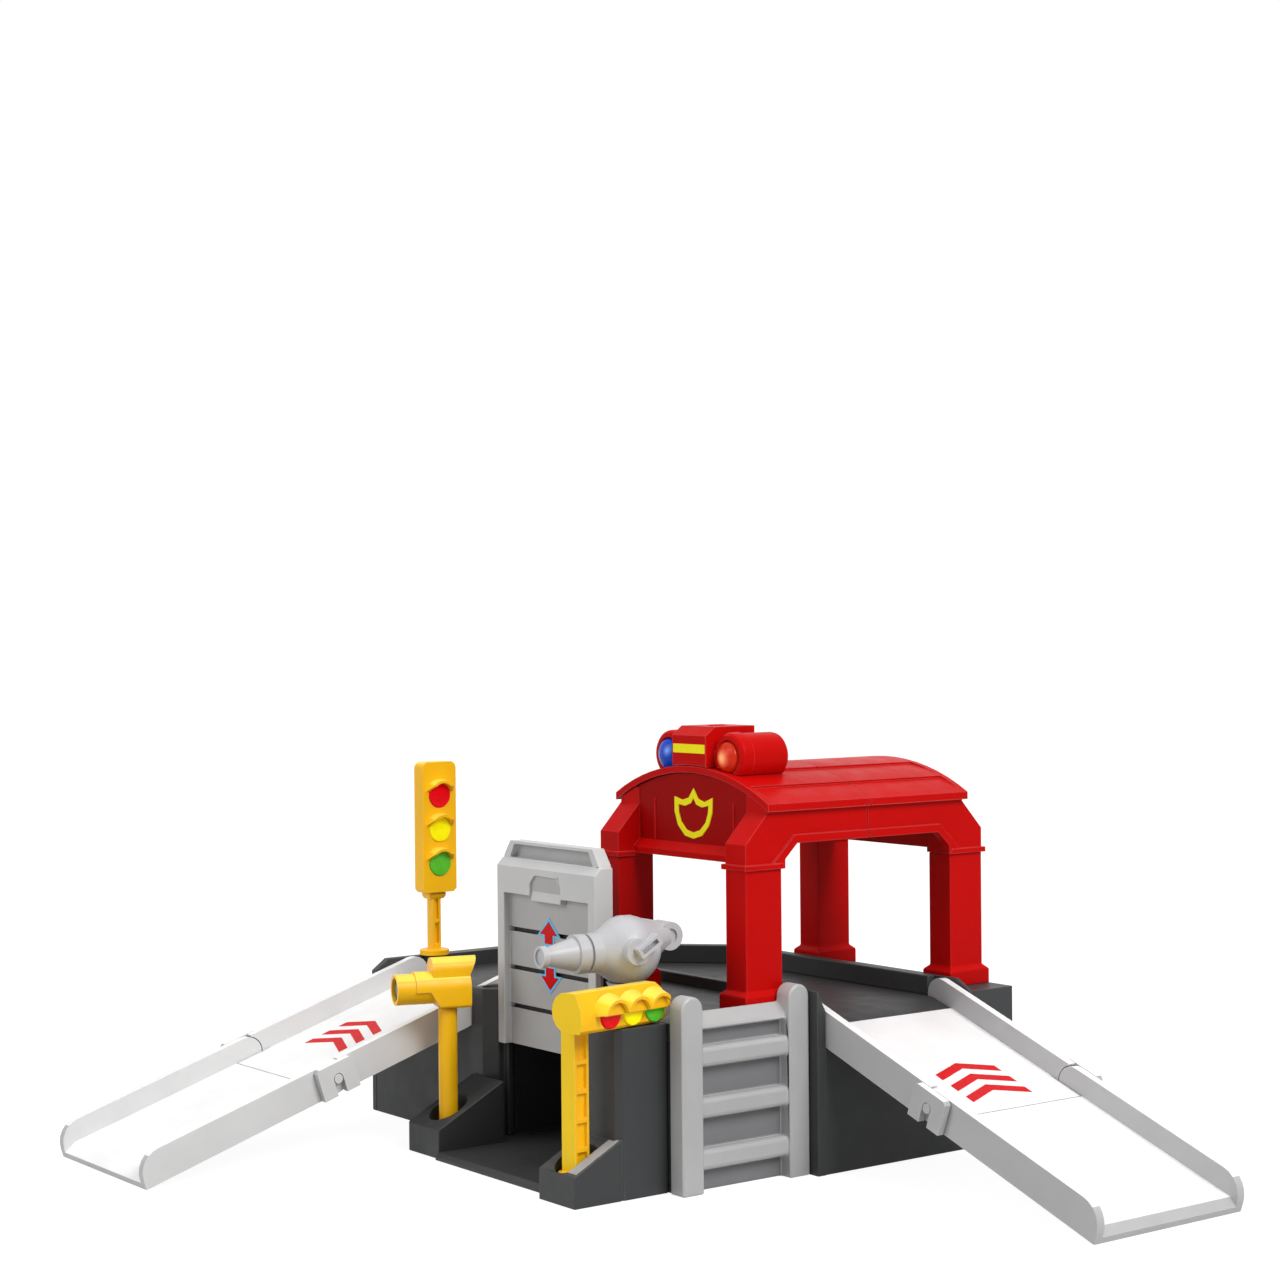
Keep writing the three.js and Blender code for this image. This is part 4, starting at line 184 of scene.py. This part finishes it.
def plastic(name, code, roughness, grain=0.15, edge=0.0, scatter=0.0, specular=0.5):
    """Moulded plastic: faint flow marks, a fine surface grain, uneven gloss and a painted highlight that
    makes edges slightly paler.
    """
    paint = Paint(name)
    colour = linear(code)
    flow = paint.between(paint.noise(*FLOW_NOISE), 0, 1)
    tint = paint.mix(flow, scaled(colour, 1 - FLOW_TINT), scaled(colour, 1 + FLOW_TINT))
    # Painted highlight: the edge share mixes the colour towards white along edges.
    if edge:
        tint = paint.mix(paint.edges(), tint, scaled(tuple(c * (1 - edge) + edge for c in colour[:3]), 1))
    paint.link(tint, "Base Color")
    gloss = paint.between(paint.noise(*GLOSS_NOISE), roughness - GLOSS_BELOW, roughness + GLOSS_ABOVE)
    paint.link(gloss, "Roughness")
    fine = paint.bump(paint.noise(*GRAIN_NOISE), grain, GRAIN_DEEP)
    paint.link(paint.bump(paint.noise(*WAVE_NOISE), WAVE_STRENGTH, WAVE_DEEP, fine), "Normal")
    if scatter:
        paint.set("Subsurface Weight", scatter)
        paint.set("Subsurface Radius", SCATTER_RADIUS)
        paint.set("Subsurface Scale", 1.0)
    paint.set("IOR", PLASTIC_IOR)
    paint.set("Specular IOR Level", specular)
    return paint.material


# Printed ink
FILM_NOISE = (420, 5, 0.7)
FILM_DARK = 0.93
FILM_PALE = 1.04
INK_GLOSS_NOISE = (900, 2, 0.5)
INK_SMOOTH = 0.36
INK_ROUGH = 0.50
INK_GRAIN_NOISE = (3200, 2, 0.5)
INK_GRAIN = 0.12
INK_GRAIN_DEEP = 0.00008
INK_SPECULAR = 0.12


def printed(name, code):
    """Pad-printed ink: an even colour with fine pinholes and a slightly uneven film."""
    paint = Paint(name)
    colour = linear(code)
    film = paint.between(paint.noise(*FILM_NOISE), 0, 1)
    paint.link(paint.mix(film, scaled(colour, FILM_DARK), scaled(colour, FILM_PALE)), "Base Color")
    paint.link(paint.between(paint.noise(*INK_GLOSS_NOISE), INK_SMOOTH, INK_ROUGH), "Roughness")
    paint.link(paint.bump(paint.noise(*INK_GRAIN_NOISE), INK_GRAIN, INK_GRAIN_DEEP), "Normal")
    paint.set("Specular IOR Level", INK_SPECULAR)
    return paint.material


# Lens plastic
LENS_DEPTH_NOISE = (260, 3, 0.5)
LENS_DARK = 0.88
LENS_PALE = 1.08
LENS_GLOSS_NOISE = (700, 2, 0.5)
LENS_SMOOTH = 0.12
LENS_ROUGH = 0.24
PRISM_SCALE = 950
PRISM_BUMP = 0.25
PRISM_DEEP = 0.00025
LENS_IOR = 1.55
LENS_SPECULAR = 0.12
UNLIT_GLOW = 0.14
RIM_GLOW = 0.12


def lens_plastic(name, code, glow=0.0, highlight=None, centre=None, highlight_reach=0.0):
    """Tinted clear plastic with moulded prisms and a faint painted glow. With a centre, the painted glow
    grows towards that point and takes the highlight colour there, a painted highlight.
    """
    paint = Paint(name)
    colour = linear(code)
    depth = paint.between(paint.noise(*LENS_DEPTH_NOISE), 0, 1)
    paint.link(paint.mix(depth, scaled(colour, LENS_DARK), scaled(colour, LENS_PALE)), "Base Color")
    paint.link(paint.between(paint.noise(*LENS_GLOSS_NOISE), LENS_SMOOTH, LENS_ROUGH), "Roughness")
    prisms = paint.nodes.new("ShaderNodeTexVoronoi")
    prisms.inputs["Scale"].default_value = PRISM_SCALE
    paint.link(paint.place, prisms.inputs["Vector"])
    paint.link(paint.bump(prisms.outputs["Distance"], PRISM_BUMP, PRISM_DEEP), "Normal")
    paint.set("IOR", LENS_IOR)
    paint.set("Specular IOR Level", LENS_SPECULAR)
    if centre is None:
        paint.set("Emission Color", colour)
        paint.set("Emission Strength", UNLIT_GLOW)
        return paint.material
    away = paint.nodes.new("ShaderNodeVectorMath")
    away.operation = "DISTANCE"
    paint.link(paint.place, away.inputs[0])
    away.inputs[1].default_value = centre
    near = paint.between(away.outputs["Value"], 1.0, 0.0, 0.0, highlight_reach * MM)
    paint.link(paint.mix(near, colour, linear(highlight)), "Emission Color")
    paint.link(paint.between(near, glow * RIM_GLOW, glow, 0.0, 1.0), "Emission Strength")
    return paint.material


# Metal
BRUSH_NOISE = (1500, 4, 0.7)
BRUSH_DARK = 0.85
BRUSH_PALE = 1.1
BRUSH_BELOW = 0.08
BRUSH_ABOVE = 0.1
BRUSH_BUMP = 0.15
BRUSH_DEEP = 0.00006


def metal(name, code, roughness):
    paint = Paint(name)
    colour = linear(code)
    brushed = paint.noise(*BRUSH_NOISE)
    paint.link(paint.mix(brushed, scaled(colour, BRUSH_DARK), scaled(colour, BRUSH_PALE)), "Base Color")
    paint.link(paint.between(brushed, roughness - BRUSH_BELOW, roughness + BRUSH_ABOVE), "Roughness")
    paint.link(paint.bump(brushed, BRUSH_BUMP, BRUSH_DEEP), "Normal")
    paint.set("Metallic", 1.0)
    return paint.material


# Materials
BASE = plastic("base_grey", "3b3c3d", 0.45, grain=0.22, edge=0.10, specular=0.25)
LANE = plastic("lane_grey", "38393a", 0.48, grain=0.25, edge=0.08, specular=0.25)
PALE = plastic("pale_grey", "b2b2b2", 0.36, edge=0.35, scatter=0.05)
SILVER = plastic("cannon_grey", "b9b9bc", 0.34, edge=0.25, scatter=0.05)
RED = plastic("canopy_red", "c00a08", 0.36, edge=0.13, specular=0.05)
# Painted shade: a deeper red for the gable's front faces.
RED_SHADED = plastic("gable_red_painted_shade", "9c0504", 0.4, edge=0.05, specular=0.05)
YELLOW = plastic("signal_yellow", "fbbd08", 0.36, edge=0.10, specular=0.3)
# Painted light: a paler yellow for the upward faces of the signal heads and the camera head.
YELLOW_LIT_TOP = plastic("yellow_painted_top_light", "fedb45", 0.36, edge=0.10, specular=0.35)
# Painted light: a brighter yellow for the low signal's front faces, lifting their shade.
YELLOW_LIT_FRONT = plastic("yellow_painted_front_light", "ffd21c", 0.36, edge=0.10, specular=0.2)
DOOR_GREY = plastic("door_grey", "c4c4c4", 0.38, edge=0.35, scatter=0.05)
# Painted shade: a darker grey for the door's sunk panel, notch and pocket faces.
DOOR_RECESS_SHADE = plastic("door_painted_recess_shade", "aaaaaa", 0.42)
SLOT_SHADE = plastic("slot_shade", "2b2b2c", 0.6)
# Painted shade: a darker grey for the ladder's back panel between the rungs.
LADDER_PAINTED_SHADE = plastic("ladder_back_painted_shade", "78787a", 0.5)
RAMP = plastic("ramp_grey", "b4b4b5", 0.38, edge=0.35, scatter=0.05)
# Painted light: paler greys for the left ramp's right-facing faces and for all upward ramp faces.
RAMP_LIT_SIDE = plastic("ramp_painted_side_light", "d6d6d6", 0.38, edge=0.35, scatter=0.05)
RAMP_LIT_TOP = plastic("ramp_painted_top_light", "f3f3f3", 0.40, edge=0.2, scatter=0.05)
BLACK = plastic("black", "151517", 0.18)
BOARD = plastic("board_green", "27633a", 0.5)
STEEL = metal("screw_steel", "b8bbbf", 0.34)
# Painted glow: the signal lenses glow faintly in their own colour.
STOP = lens_plastic("stop_red", "e20613")
WAIT = lens_plastic("wait_yellow", "fff000")
GO = lens_plastic("go_green", "55b72d")
LENS_FACE = 78.4
BLUE_CENTRE = (-53.9, LENS_FACE, 134.7)
CLEAR_CENTRE = (-23.9, LENS_FACE, 133.3)
# Painted glow and highlight: the roof lamps' lenses glow, palest near these centres.
BLUE_GLASS = lens_plastic("blue_lens", "1246c0", 0.5, "b8dcff", at(*BLUE_CENTRE), 2.6)
CLEAR_GLASS = lens_plastic("clear_lens", "c8280a", 0.9, "ffd890", at(*CLEAR_CENTRE), 3.6)
# Painted glow: the lamp bulbs glow faintly in their own colour.
BLUE_LAMP = lens_plastic("blue_lamp", "5b9cf5")
AMBER_LAMP = lens_plastic("amber_lamp", "ff9a1e")
INK_RED = printed("ink_red", "d00410")
INK_BLUE = printed("ink_blue", "74c8f4")
INK_YELLOW = printed("ink_yellow", "fff21c")
INK_GREY = printed("ink_grey", "a2a2a3")

# Edges and shading
BEVEL_ANGLE = 27
BEVEL_SEGMENTS = 2
WELD_REACH = 0.000002
FLAT_ANGLE = 0.6
EDGE_WIDTH = 0.35


def soften(piece, width, weld=False, flatten=True):
    """Rounded edges and smooth shading, as modifiers."""
    for face in piece.data.polygons:
        face.use_smooth = True
    for name in ("custom_normal", "sharp_face", "sharp_edge"):
        attribute = piece.data.attributes.get(name)
        if attribute is not None:
            piece.data.attributes.remove(attribute)
    if weld:
        merge = piece.modifiers.new("weld", "WELD")
        merge.merge_threshold = WELD_REACH
    if weld and flatten:
        flat = piece.modifiers.new("flat", "DECIMATE")
        flat.decimate_type = "DISSOLVE"
        flat.angle_limit = math.radians(FLAT_ANGLE)
    if width:
        bevel = piece.modifiers.new("bevel", "BEVEL")
        bevel.width = width * MM
        bevel.segments = BEVEL_SEGMENTS
        bevel.limit_method = "ANGLE"
        bevel.angle_limit = math.radians(BEVEL_ANGLE)
        bevel.miter_outer = "MITER_ARC"
        bevel.harden_normals = True
    weighted = piece.modifiers.new("normals", "WEIGHTED_NORMAL")
    weighted.keep_sharp = True
    return piece


# Nodes with recesses inside a flat face, whose triangles stay as they are
KEPT_FACES = ("low_signal_post", "tall_signal_post", "camera_post", "garage_door")


def dress(node, material, width):
    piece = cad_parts[node]
    piece.data.materials.clear()
    piece.data.materials.append(material)
    for face in piece.data.polygons:
        face.material_index = 0
    return soften(piece, width, weld=True, flatten=node not in KEPT_FACES)


def dress_part(node, material, chosen):
    """Gives a second material to the faces that chosen(centre, normal) picks. Centre is in the datum's mm."""
    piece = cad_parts[node]
    piece.data.materials.append(material)
    slot_index = len(piece.data.materials) - 1
    for face in piece.data.polygons:
        if chosen((face.center - DATUM) / MM, face.normal):
            face.material_index = slot_index


LOOKS = {
    BASE: "left_wall corner_wall back_wall rear_plinth right_wall front_wall door_post corner_pier "
          "left_foot cheek_post floor_plate garage_wall_left garage_wall_right ladder_wall deck_plate "
          "lane_kerb left_parapet back_parapet",
    LANE: "lane_plate",
    PALE: "ladder",
    DOOR_GREY: "garage_door",
    SILVER: "cannon_seat cannon_barrel",
    RED: "post_front_left post_front_right post_rear_left post_rear_right canopy_frame_front "
         "canopy_frame_rear roof_front roof_rear lamp_housing battery_door siren_button",
    YELLOW: "camera_post camera_head tall_signal_post tall_signal_head low_signal_post low_signal_head",
    RAMP: "left_ramp_upper left_ramp_lower right_ramp_upper right_ramp_lower",
    BLACK: "camera_glass",
    BOARD: "circuit_board",
    STEEL: "coin_cell floor_screw_left floor_screw_right",
    STOP: "tall_signal_red_lens low_signal_red_lens",
    WAIT: "tall_signal_yellow_lens low_signal_yellow_lens",
    GO: "tall_signal_green_lens low_signal_green_lens",
    BLUE_GLASS: "blue_lens",
    CLEAR_GLASS: "clear_lens",
    BLUE_LAMP: "blue_lamp",
    AMBER_LAMP: "amber_lamp",
}
WIDTHS = {
    "ladder": 0.9,
    "circuit_board": 0.1,
    "coin_cell": 0.2,
    "floor_screw_left": 0.15,
    "floor_screw_right": 0.15,
}
for material, names in LOOKS.items():
    for name in names.split():
        dress(name, material, WIDTHS.get(name, EDGE_WIDTH))

# Second materials on some faces, each of them painted shade or painted light
FACING = 0.9
UPWARD = 0.7
SIDEWAYS = 0.5
GABLE_FACE = 77.6
GABLE_LOW = 104
GABLE_NEAR = 0.15
DOOR_SUNK = (36.9, 38.8, 41.0)
DOOR_NEAR = 0.1
SLOT_FRONT = 38.9
SLOT_BACK = 41
SLOTS_LOW = 46
SLOTS_HIGH = 76
LADDER_BACK_FACE = 3.8
LADDER_NEAR = 0.2


def on_gable(centre, normal):
    return normal.y < -FACING and abs(centre.y - GABLE_FACE) < GABLE_NEAR and centre.z > GABLE_LOW


def on_sunk_door(centre, normal):
    return normal.y < -FACING and min(abs(centre.y - y) for y in DOOR_SUNK) < DOOR_NEAR


def in_door_slot(centre, normal):
    inside = SLOT_FRONT < centre.y < SLOT_BACK and SLOTS_LOW < centre.z < SLOTS_HIGH
    return inside and abs(normal.x) < SIDEWAYS


def on_ladder_back(centre, normal):
    return abs(centre.x - LADDER_BACK_FACE) < LADDER_NEAR and normal.x > UPWARD


def faces_up(centre, normal):
    return normal.z > UPWARD


def faces_right(centre, normal):
    return normal.x > UPWARD


def faces_front(centre, normal):
    return normal.y < -UPWARD


SECOND_LOOKS = (
    ("canopy_frame_front", RED_SHADED, on_gable),
    ("garage_door", DOOR_RECESS_SHADE, on_sunk_door),
    ("garage_door", SLOT_SHADE, in_door_slot),
    ("ladder", LADDER_PAINTED_SHADE, on_ladder_back),
    ("left_ramp_upper left_ramp_lower right_ramp_upper right_ramp_lower", RAMP_LIT_TOP, faces_up),
    ("left_ramp_upper left_ramp_lower", RAMP_LIT_SIDE, faces_right),
    ("tall_signal_head low_signal_head camera_head", YELLOW_LIT_TOP, faces_up),
    ("low_signal_head low_signal_post", YELLOW_LIT_FRONT, faces_front),
)
for names, material, chosen in SECOND_LOOKS:
    for name in names.split():
        dress_part(name, material, chosen)


# Mesh building
def from_bmesh(name, bm, material, body, bevel):
    bmesh.ops.recalc_face_normals(bm, faces=bm.faces)
    mesh_data = bpy.data.meshes.new(name)
    bm.to_mesh(mesh_data)
    bm.free()
    mesh_data.materials.append(material)
    piece = bpy.data.objects.new(name, mesh_data)
    bpy.context.scene.collection.objects.link(piece)
    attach(piece, body)
    return soften(piece, bevel)


AXES = {
    "x": lambda u, v, w: (w, u, v),
    "y": lambda u, v, w: (u, w, v),
    "z": lambda u, v, w: (u, v, w),
}


def prism(bm, outline, axis, low, high, place=at):
    """Outline (y, z), (x, z) or (x, y), run along the named axis from low to high."""
    turn = AXES[axis]
    rings = [[bm.verts.new(place(*turn(u, v, w))) for u, v in outline] for w in (low, high)]
    bm.faces.new(rings[0])
    bm.faces.new(rings[1])
    for i in range(len(outline)):
        j = (i + 1) % len(outline)
        bm.faces.new((rings[0][i], rings[0][j], rings[1][j], rings[1][i]))


def rectangle(u_low, u_high, v_low, v_high):
    return [(u_low, v_low), (u_high, v_low), (u_high, v_high), (u_low, v_high)]


def arc(u, v, radius, start, end, steps):
    turns = [math.radians(start + (end - start) * i / steps) for i in range(steps + 1)]
    return [(u + radius * math.cos(t), v + radius * math.sin(t)) for t in turns]


def ring(bm, outer, inner, low, high):
    """Closed band between two outlines of (x, z) with equal corner counts, from y = low to y = high."""
    loops = [[bm.verts.new(at(u, y, v)) for u, v in outline]
             for outline in (outer, inner) for y in (low, high)]
    outer_low, outer_high, inner_low, inner_high = loops
    for i in range(len(outer)):
        j = (i + 1) % len(outer)
        for a, b in ((outer_low, outer_high), (inner_low, inner_high), (outer_low, inner_low),
                     (outer_high, inner_high)):
            bm.faces.new((a[i], a[j], b[j], b[i]))


# Gable: a plain shield outline and the seams of its panel
PRINT_THICK = 0.35
SHIELD_OUTER = [
    (-38.4, 122.8), (-35.8, 119.3), (-32.6, 118.4), (-28.2, 120.0), (-28.4, 115.0), (-30.2, 110.6),
    (-34.0, 107.0), (-38.6, 105.8), (-43.2, 106.6), (-47.0, 110.0), (-48.8, 114.6), (-48.8, 119.6),
    (-44.4, 118.6), (-41.0, 119.5),
]
SHIELD_INNER = [
    (-38.5, 119.4), (-36.9, 117.3), (-34.0, 116.5), (-30.4, 117.2), (-30.7, 114.8), (-32.0, 111.6),
    (-35.0, 108.9), (-38.6, 107.9), (-42.2, 108.6), (-45.2, 111.2), (-46.5, 114.6), (-46.5, 117.0),
    (-43.0, 116.6), (-39.9, 117.6),
]
SEAMS = (("left", -60.2), ("right", -17.7))
SEAM_WIDE = 0.7
SEAM_LOW = 104.6
SEAM_HIGH = 118.5
GABLE_PRINT = (GABLE_FACE - PRINT_THICK, GABLE_FACE + PRINT_THICK)

shield = bmesh.new()
ring(shield, SHIELD_OUTER, SHIELD_INNER, *GABLE_PRINT)
from_bmesh("gable_shield_outline", shield, INK_YELLOW, "base", bevel=0.12)
for side, x in SEAMS:
    seam = bmesh.new()
    prism(seam, rectangle(x, x + SEAM_WIDE, SEAM_LOW, SEAM_HIGH), "y", *GABLE_PRINT)
    from_bmesh(f"gable_seam_{side}", seam, RED, "base", bevel=0.2)

# Lamp box: the printed stripe across its front
STRIPE_LEFT = -48.0
STRIPE_RIGHT = -31.0
STRIPE_LOW = 134.5
STRIPE_HIGH = 137.5
BOX_FACE = 76.4
INK_THICK = 0.12
stripe = bmesh.new()
prism(stripe, rectangle(STRIPE_LEFT, STRIPE_RIGHT, STRIPE_LOW, STRIPE_HIGH), "y", BOX_FACE - INK_THICK,
      BOX_FACE + INK_THICK)
from_bmesh("lamp_box_stripe", stripe, INK_YELLOW, "base", bevel=0.04)

# Door: up and down arrows in front of its panel
PANEL_FACE = 38.8
ARROW_BACK = PANEL_FACE + 0.1
ARROW_HALF = 5.1
ARROW_STEM_HALF = 2.3
ARROW_HEAD = 4.5
ARROW_STEM = 3.0
GROW_TIP = 1.4
GROW_BARB = 1.8
GROW_BACK = 0.6
ARROWS = (("up", -68.1, 78.4, 1), ("down", -67.5, 55.4, -1))
ARROW_LAYERS = (
    ("edge", 0.9, 0.25, INK_BLUE, "pale_grey_plastic"),
    ("fill", 0.0, 0.4, INK_RED, "red_plastic"),
)


def arrow(x, tip, way, grow):
    """Arrow outline of (x, z) whose tip points up (way 1) or down (way -1), grown outwards by grow."""
    point = tip + way * grow * GROW_TIP
    back = tip - way * (ARROW_HEAD + grow * GROW_BACK)
    foot = tip - way * (ARROW_HEAD + ARROW_STEM + grow)
    barb = ARROW_HALF + grow * GROW_BARB
    stem = ARROW_STEM_HALF + grow
    return [
        (x, point), (x + barb, back), (x + stem, back), (x + stem, foot),
        (x - stem, foot), (x - stem, back), (x - barb, back),
    ]


for label, tip_x, tip_z, way in ARROWS:
    for layer, grow, thick, ink, slot in ARROW_LAYERS:
        mark = bmesh.new()
        prism(mark, arrow(tip_x, tip_z, way, grow), "y", PANEL_FACE - thick, ARROW_BACK)
        from_bmesh(f"door_arrow_{label}_{layer}", mark, ink, "garage_door", bevel=0.05)

# Ramps: plain chevrons on the upper sections, pointing uphill
RIGHT_PIVOT = (1.1, 50.9)
RIGHT_SLOPE = math.radians(19.7)
LEFT_PIVOT = (47.7, 50.1)
LEFT_SLOPE = math.radians(17.85)
FLOOR_DROP = 1.6
CHEVRON_COUNT = 3
CHEVRON_THICK = 0.12
CHEVRON_RISE = 4.8
CHEVRON_BAND = 3.6
CHEVRON_PITCH = 7.2


def on_right_ramp(s, across, up):
    lift = up - FLOOR_DROP
    x = RIGHT_PIVOT[0] + s * math.cos(RIGHT_SLOPE) + lift * math.sin(RIGHT_SLOPE)
    return at(x, across, RIGHT_PIVOT[1] - s * math.sin(RIGHT_SLOPE) + lift * math.cos(RIGHT_SLOPE))


def on_left_ramp(s, across, up):
    lift = up - FLOOR_DROP
    y = LEFT_PIVOT[0] - s * math.cos(LEFT_SLOPE) - lift * math.sin(LEFT_SLOPE)
    return at(across, y, LEFT_PIVOT[1] - s * math.sin(LEFT_SLOPE) + lift * math.cos(LEFT_SLOPE))


def chevrons(side, place, first, middle, half):
    for i in range(CHEVRON_COUNT):
        tip = first + i * CHEVRON_PITCH
        wing = tip + CHEVRON_RISE
        outline = [
            (tip, middle), (wing, middle - half), (wing + CHEVRON_BAND, middle - half),
            (tip + CHEVRON_BAND, middle), (wing + CHEVRON_BAND, middle + half), (wing, middle + half),
        ]
        mark = bmesh.new()
        prism(mark, outline, "z", -CHEVRON_THICK, CHEVRON_THICK, place)
        name = f"{side}_ramp_chevron_{i + 1}"
        from_bmesh(name, mark, INK_RED, f"{side}_ramp_upper", bevel=0.03)


chevrons("left", on_left_ramp, first=34.0, middle=-143.5, half=12.0)
chevrons("right", on_right_ramp, first=40.0, middle=123.0, half=13.0)

# Front foot: the pale stripe on its slope
FOOT_STRIPE = (-5.0, -0.6, 1.2, 17.4)
SLOPE_LOW = 9.8
SLOPE_HIGH = 19.0
SLOPE_DEEP = 18.0


def on_foot_slope(x, y, up):
    return at(x, y, SLOPE_LOW + y * (SLOPE_HIGH - SLOPE_LOW) / SLOPE_DEEP + up)


foot_stripe = bmesh.new()
prism(foot_stripe, rectangle(*FOOT_STRIPE), "z", -INK_THICK, INK_THICK, on_foot_slope)
from_bmesh("foot_stripe", foot_stripe, INK_GREY, "base", bevel=0.04)

# Low signal: the root of each hood, which covers the upper half of its lens
LOW_AXIS = (-9.0, 7.0)
LOW_YAW = math.radians(8)
LOW_LENSES = (4.7, 14.3, 23.9)
LOW_LENS_Z = 57.9
HOOD_ROOT_R = 4.15
HOOD_ROOT = (12.0, 13.4)
HOOD_ROOT_FROM = 4
HOOD_ROOT_TO = 176
HOOD_ROOT_STEPS = 14


def on_low_signal(x, y, z):
    turned_x = x * math.cos(LOW_YAW) - y * math.sin(LOW_YAW)
    turned_y = x * math.sin(LOW_YAW) + y * math.cos(LOW_YAW)
    return at(LOW_AXIS[0] + turned_x, LOW_AXIS[1] + turned_y, z)


for i, y in enumerate(LOW_LENSES):
    root = bmesh.new()
    outline = arc(y, LOW_LENS_Z, HOOD_ROOT_R, HOOD_ROOT_FROM, HOOD_ROOT_TO, HOOD_ROOT_STEPS)
    prism(root, outline, "x", *HOOD_ROOT, on_low_signal)
    from_bmesh(f"low_signal_hood_root_{i + 1}", root, YELLOW, "base", bevel=0.3)

# Corner pier: the strip that closes the step between the foot and the pier
JOINT_FOOTPRINT = (-1.4, 0.0, 17.6, 19.4)
JOINT_LOW = 0.2
JOINT_HIGH = 18.9
joint_strip = bmesh.new()
prism(joint_strip, rectangle(*JOINT_FOOTPRINT), "z", JOINT_LOW, JOINT_HIGH)
from_bmesh("foot_joint", joint_strip, BASE, "base", bevel=0)

# Door: the finger tab under the notch
DOOR_MIDDLE = -66.65
TAB_HALF = 8.6
TAB_TOP = 88.6
TAB_LOW = 84.9
TAB_LIP_TALL = 1.0
TAB_ROOT = 37.0
TAB_LIP = 36.3
TAB_BACK = 38.9
TAB_OUTLINE = [
    (TAB_ROOT, TAB_TOP), (TAB_LIP, TAB_LOW + TAB_LIP_TALL), (TAB_LIP, TAB_LOW),
    (TAB_BACK, TAB_LOW), (TAB_BACK, TAB_TOP),
]
tab = bmesh.new()
prism(tab, TAB_OUTLINE, "x", DOOR_MIDDLE - TAB_HALF, DOOR_MIDDLE + TAB_HALF)
from_bmesh("door_finger_tab", tab, DOOR_GREY, "garage_door", bevel=0.3)

# Floor and background
FLOOR_HALF = 3
FLOOR_Z = -0.0002
FLOOR_GREY = (0.5, 0.5, 0.5, 1)
FLOOR_ROUGHNESS = 0.8
FLOOR_WHITE = 1.56
FLOOR_WHITE_SHARE = 0.6
WHITE = (1, 1, 1, 1)
WORLD_LIGHT = 0.30


def seen_ray(nodes, links):
    """1 for camera, transmission and glossy rays, 0 for all others."""
    path = nodes.new("ShaderNodeLightPath")
    seen = path.outputs["Is Camera Ray"]
    for kind in ("Is Transmission Ray", "Is Glossy Ray"):
        either = nodes.new("ShaderNodeMath")
        either.operation = "MAXIMUM"
        links.new(seen, either.inputs[0])
        links.new(path.outputs[kind], either.inputs[1])
        seen = either.outputs[0]
    return seen


def add_floor():
    mesh_data = bpy.data.meshes.new("floor")
    corners = [(x, y, FLOOR_Z) for x, y in rectangle(-FLOOR_HALF, FLOOR_HALF, -FLOOR_HALF, FLOOR_HALF)]
    mesh_data.from_pydata(corners, [], [(0, 1, 2, 3)])
    floor = bpy.data.objects.new("floor", mesh_data)
    bpy.context.scene.collection.objects.link(floor)
    material = bpy.data.materials.new("floor_white")
    material.use_nodes = True
    nodes, links = material.node_tree.nodes, material.node_tree.links
    shader = nodes["Principled BSDF"]
    shader.inputs["Base Color"].default_value = FLOOR_GREY
    shader.inputs["Roughness"].default_value = FLOOR_ROUGHNESS
    white = nodes.new("ShaderNodeEmission")
    white.inputs["Strength"].default_value = FLOOR_WHITE
    share = nodes.new("ShaderNodeMath")
    share.operation = "MULTIPLY"
    share.inputs[1].default_value = FLOOR_WHITE_SHARE
    links.new(seen_ray(nodes, links), share.inputs[0])
    mix = nodes.new("ShaderNodeMixShader")
    links.new(share.outputs[0], mix.inputs[0])
    links.new(shader.outputs[0], mix.inputs[1])
    links.new(white.outputs[0], mix.inputs[2])
    links.new(mix.outputs[0], nodes["Material Output"].inputs["Surface"])
    mesh_data.materials.append(material)


def add_world():
    world = bpy.data.worlds.new("world")
    bpy.context.scene.world = world
    world.use_nodes = True
    nodes, links = world.node_tree.nodes, world.node_tree.links
    light = nodes["Background"]
    light.inputs["Color"].default_value = WHITE
    light.inputs["Strength"].default_value = WORLD_LIGHT
    shown = nodes.new("ShaderNodeBackground")
    shown.inputs["Color"].default_value = WHITE
    shown.inputs["Strength"].default_value = 1.0
    mix = nodes.new("ShaderNodeMixShader")
    links.new(seen_ray(nodes, links), mix.inputs[0])
    links.new(light.outputs[0], mix.inputs[1])
    links.new(shown.outputs[0], mix.inputs[2])
    links.new(mix.outputs[0], nodes["World Output"].inputs["Surface"])


# Lamps: name, place, aim, side and power, in metres and watts
LAMPS = (
    ("key", (1.3, 0.15, 1.25), (0, 0, 0.06), 0.8, 23),
    ("fill", (-0.35, -1.4, 0.8), (0, 0, 0.05), 1.0, 10),
    ("top", (0.0, 0.1, 1.6), (0, 0, 0), 1.2, 6),
)


def add_lamp(name, place, aim, side, power):
    data = bpy.data.lights.new(name, "AREA")
    data.size = side
    data.energy = power
    lamp = bpy.data.objects.new(name, data)
    bpy.context.scene.collection.objects.link(lamp)
    lamp.location = place
    lamp.rotation_mode = "QUATERNION"
    lamp.rotation_quaternion = (Vector(aim) - Vector(place)).to_track_quat("-Z", "Y")


add_camera()
add_floor()
add_world()
for lamp in LAMPS:
    add_lamp(*lamp)
bpy.context.scene.view_settings.view_transform = "Standard"
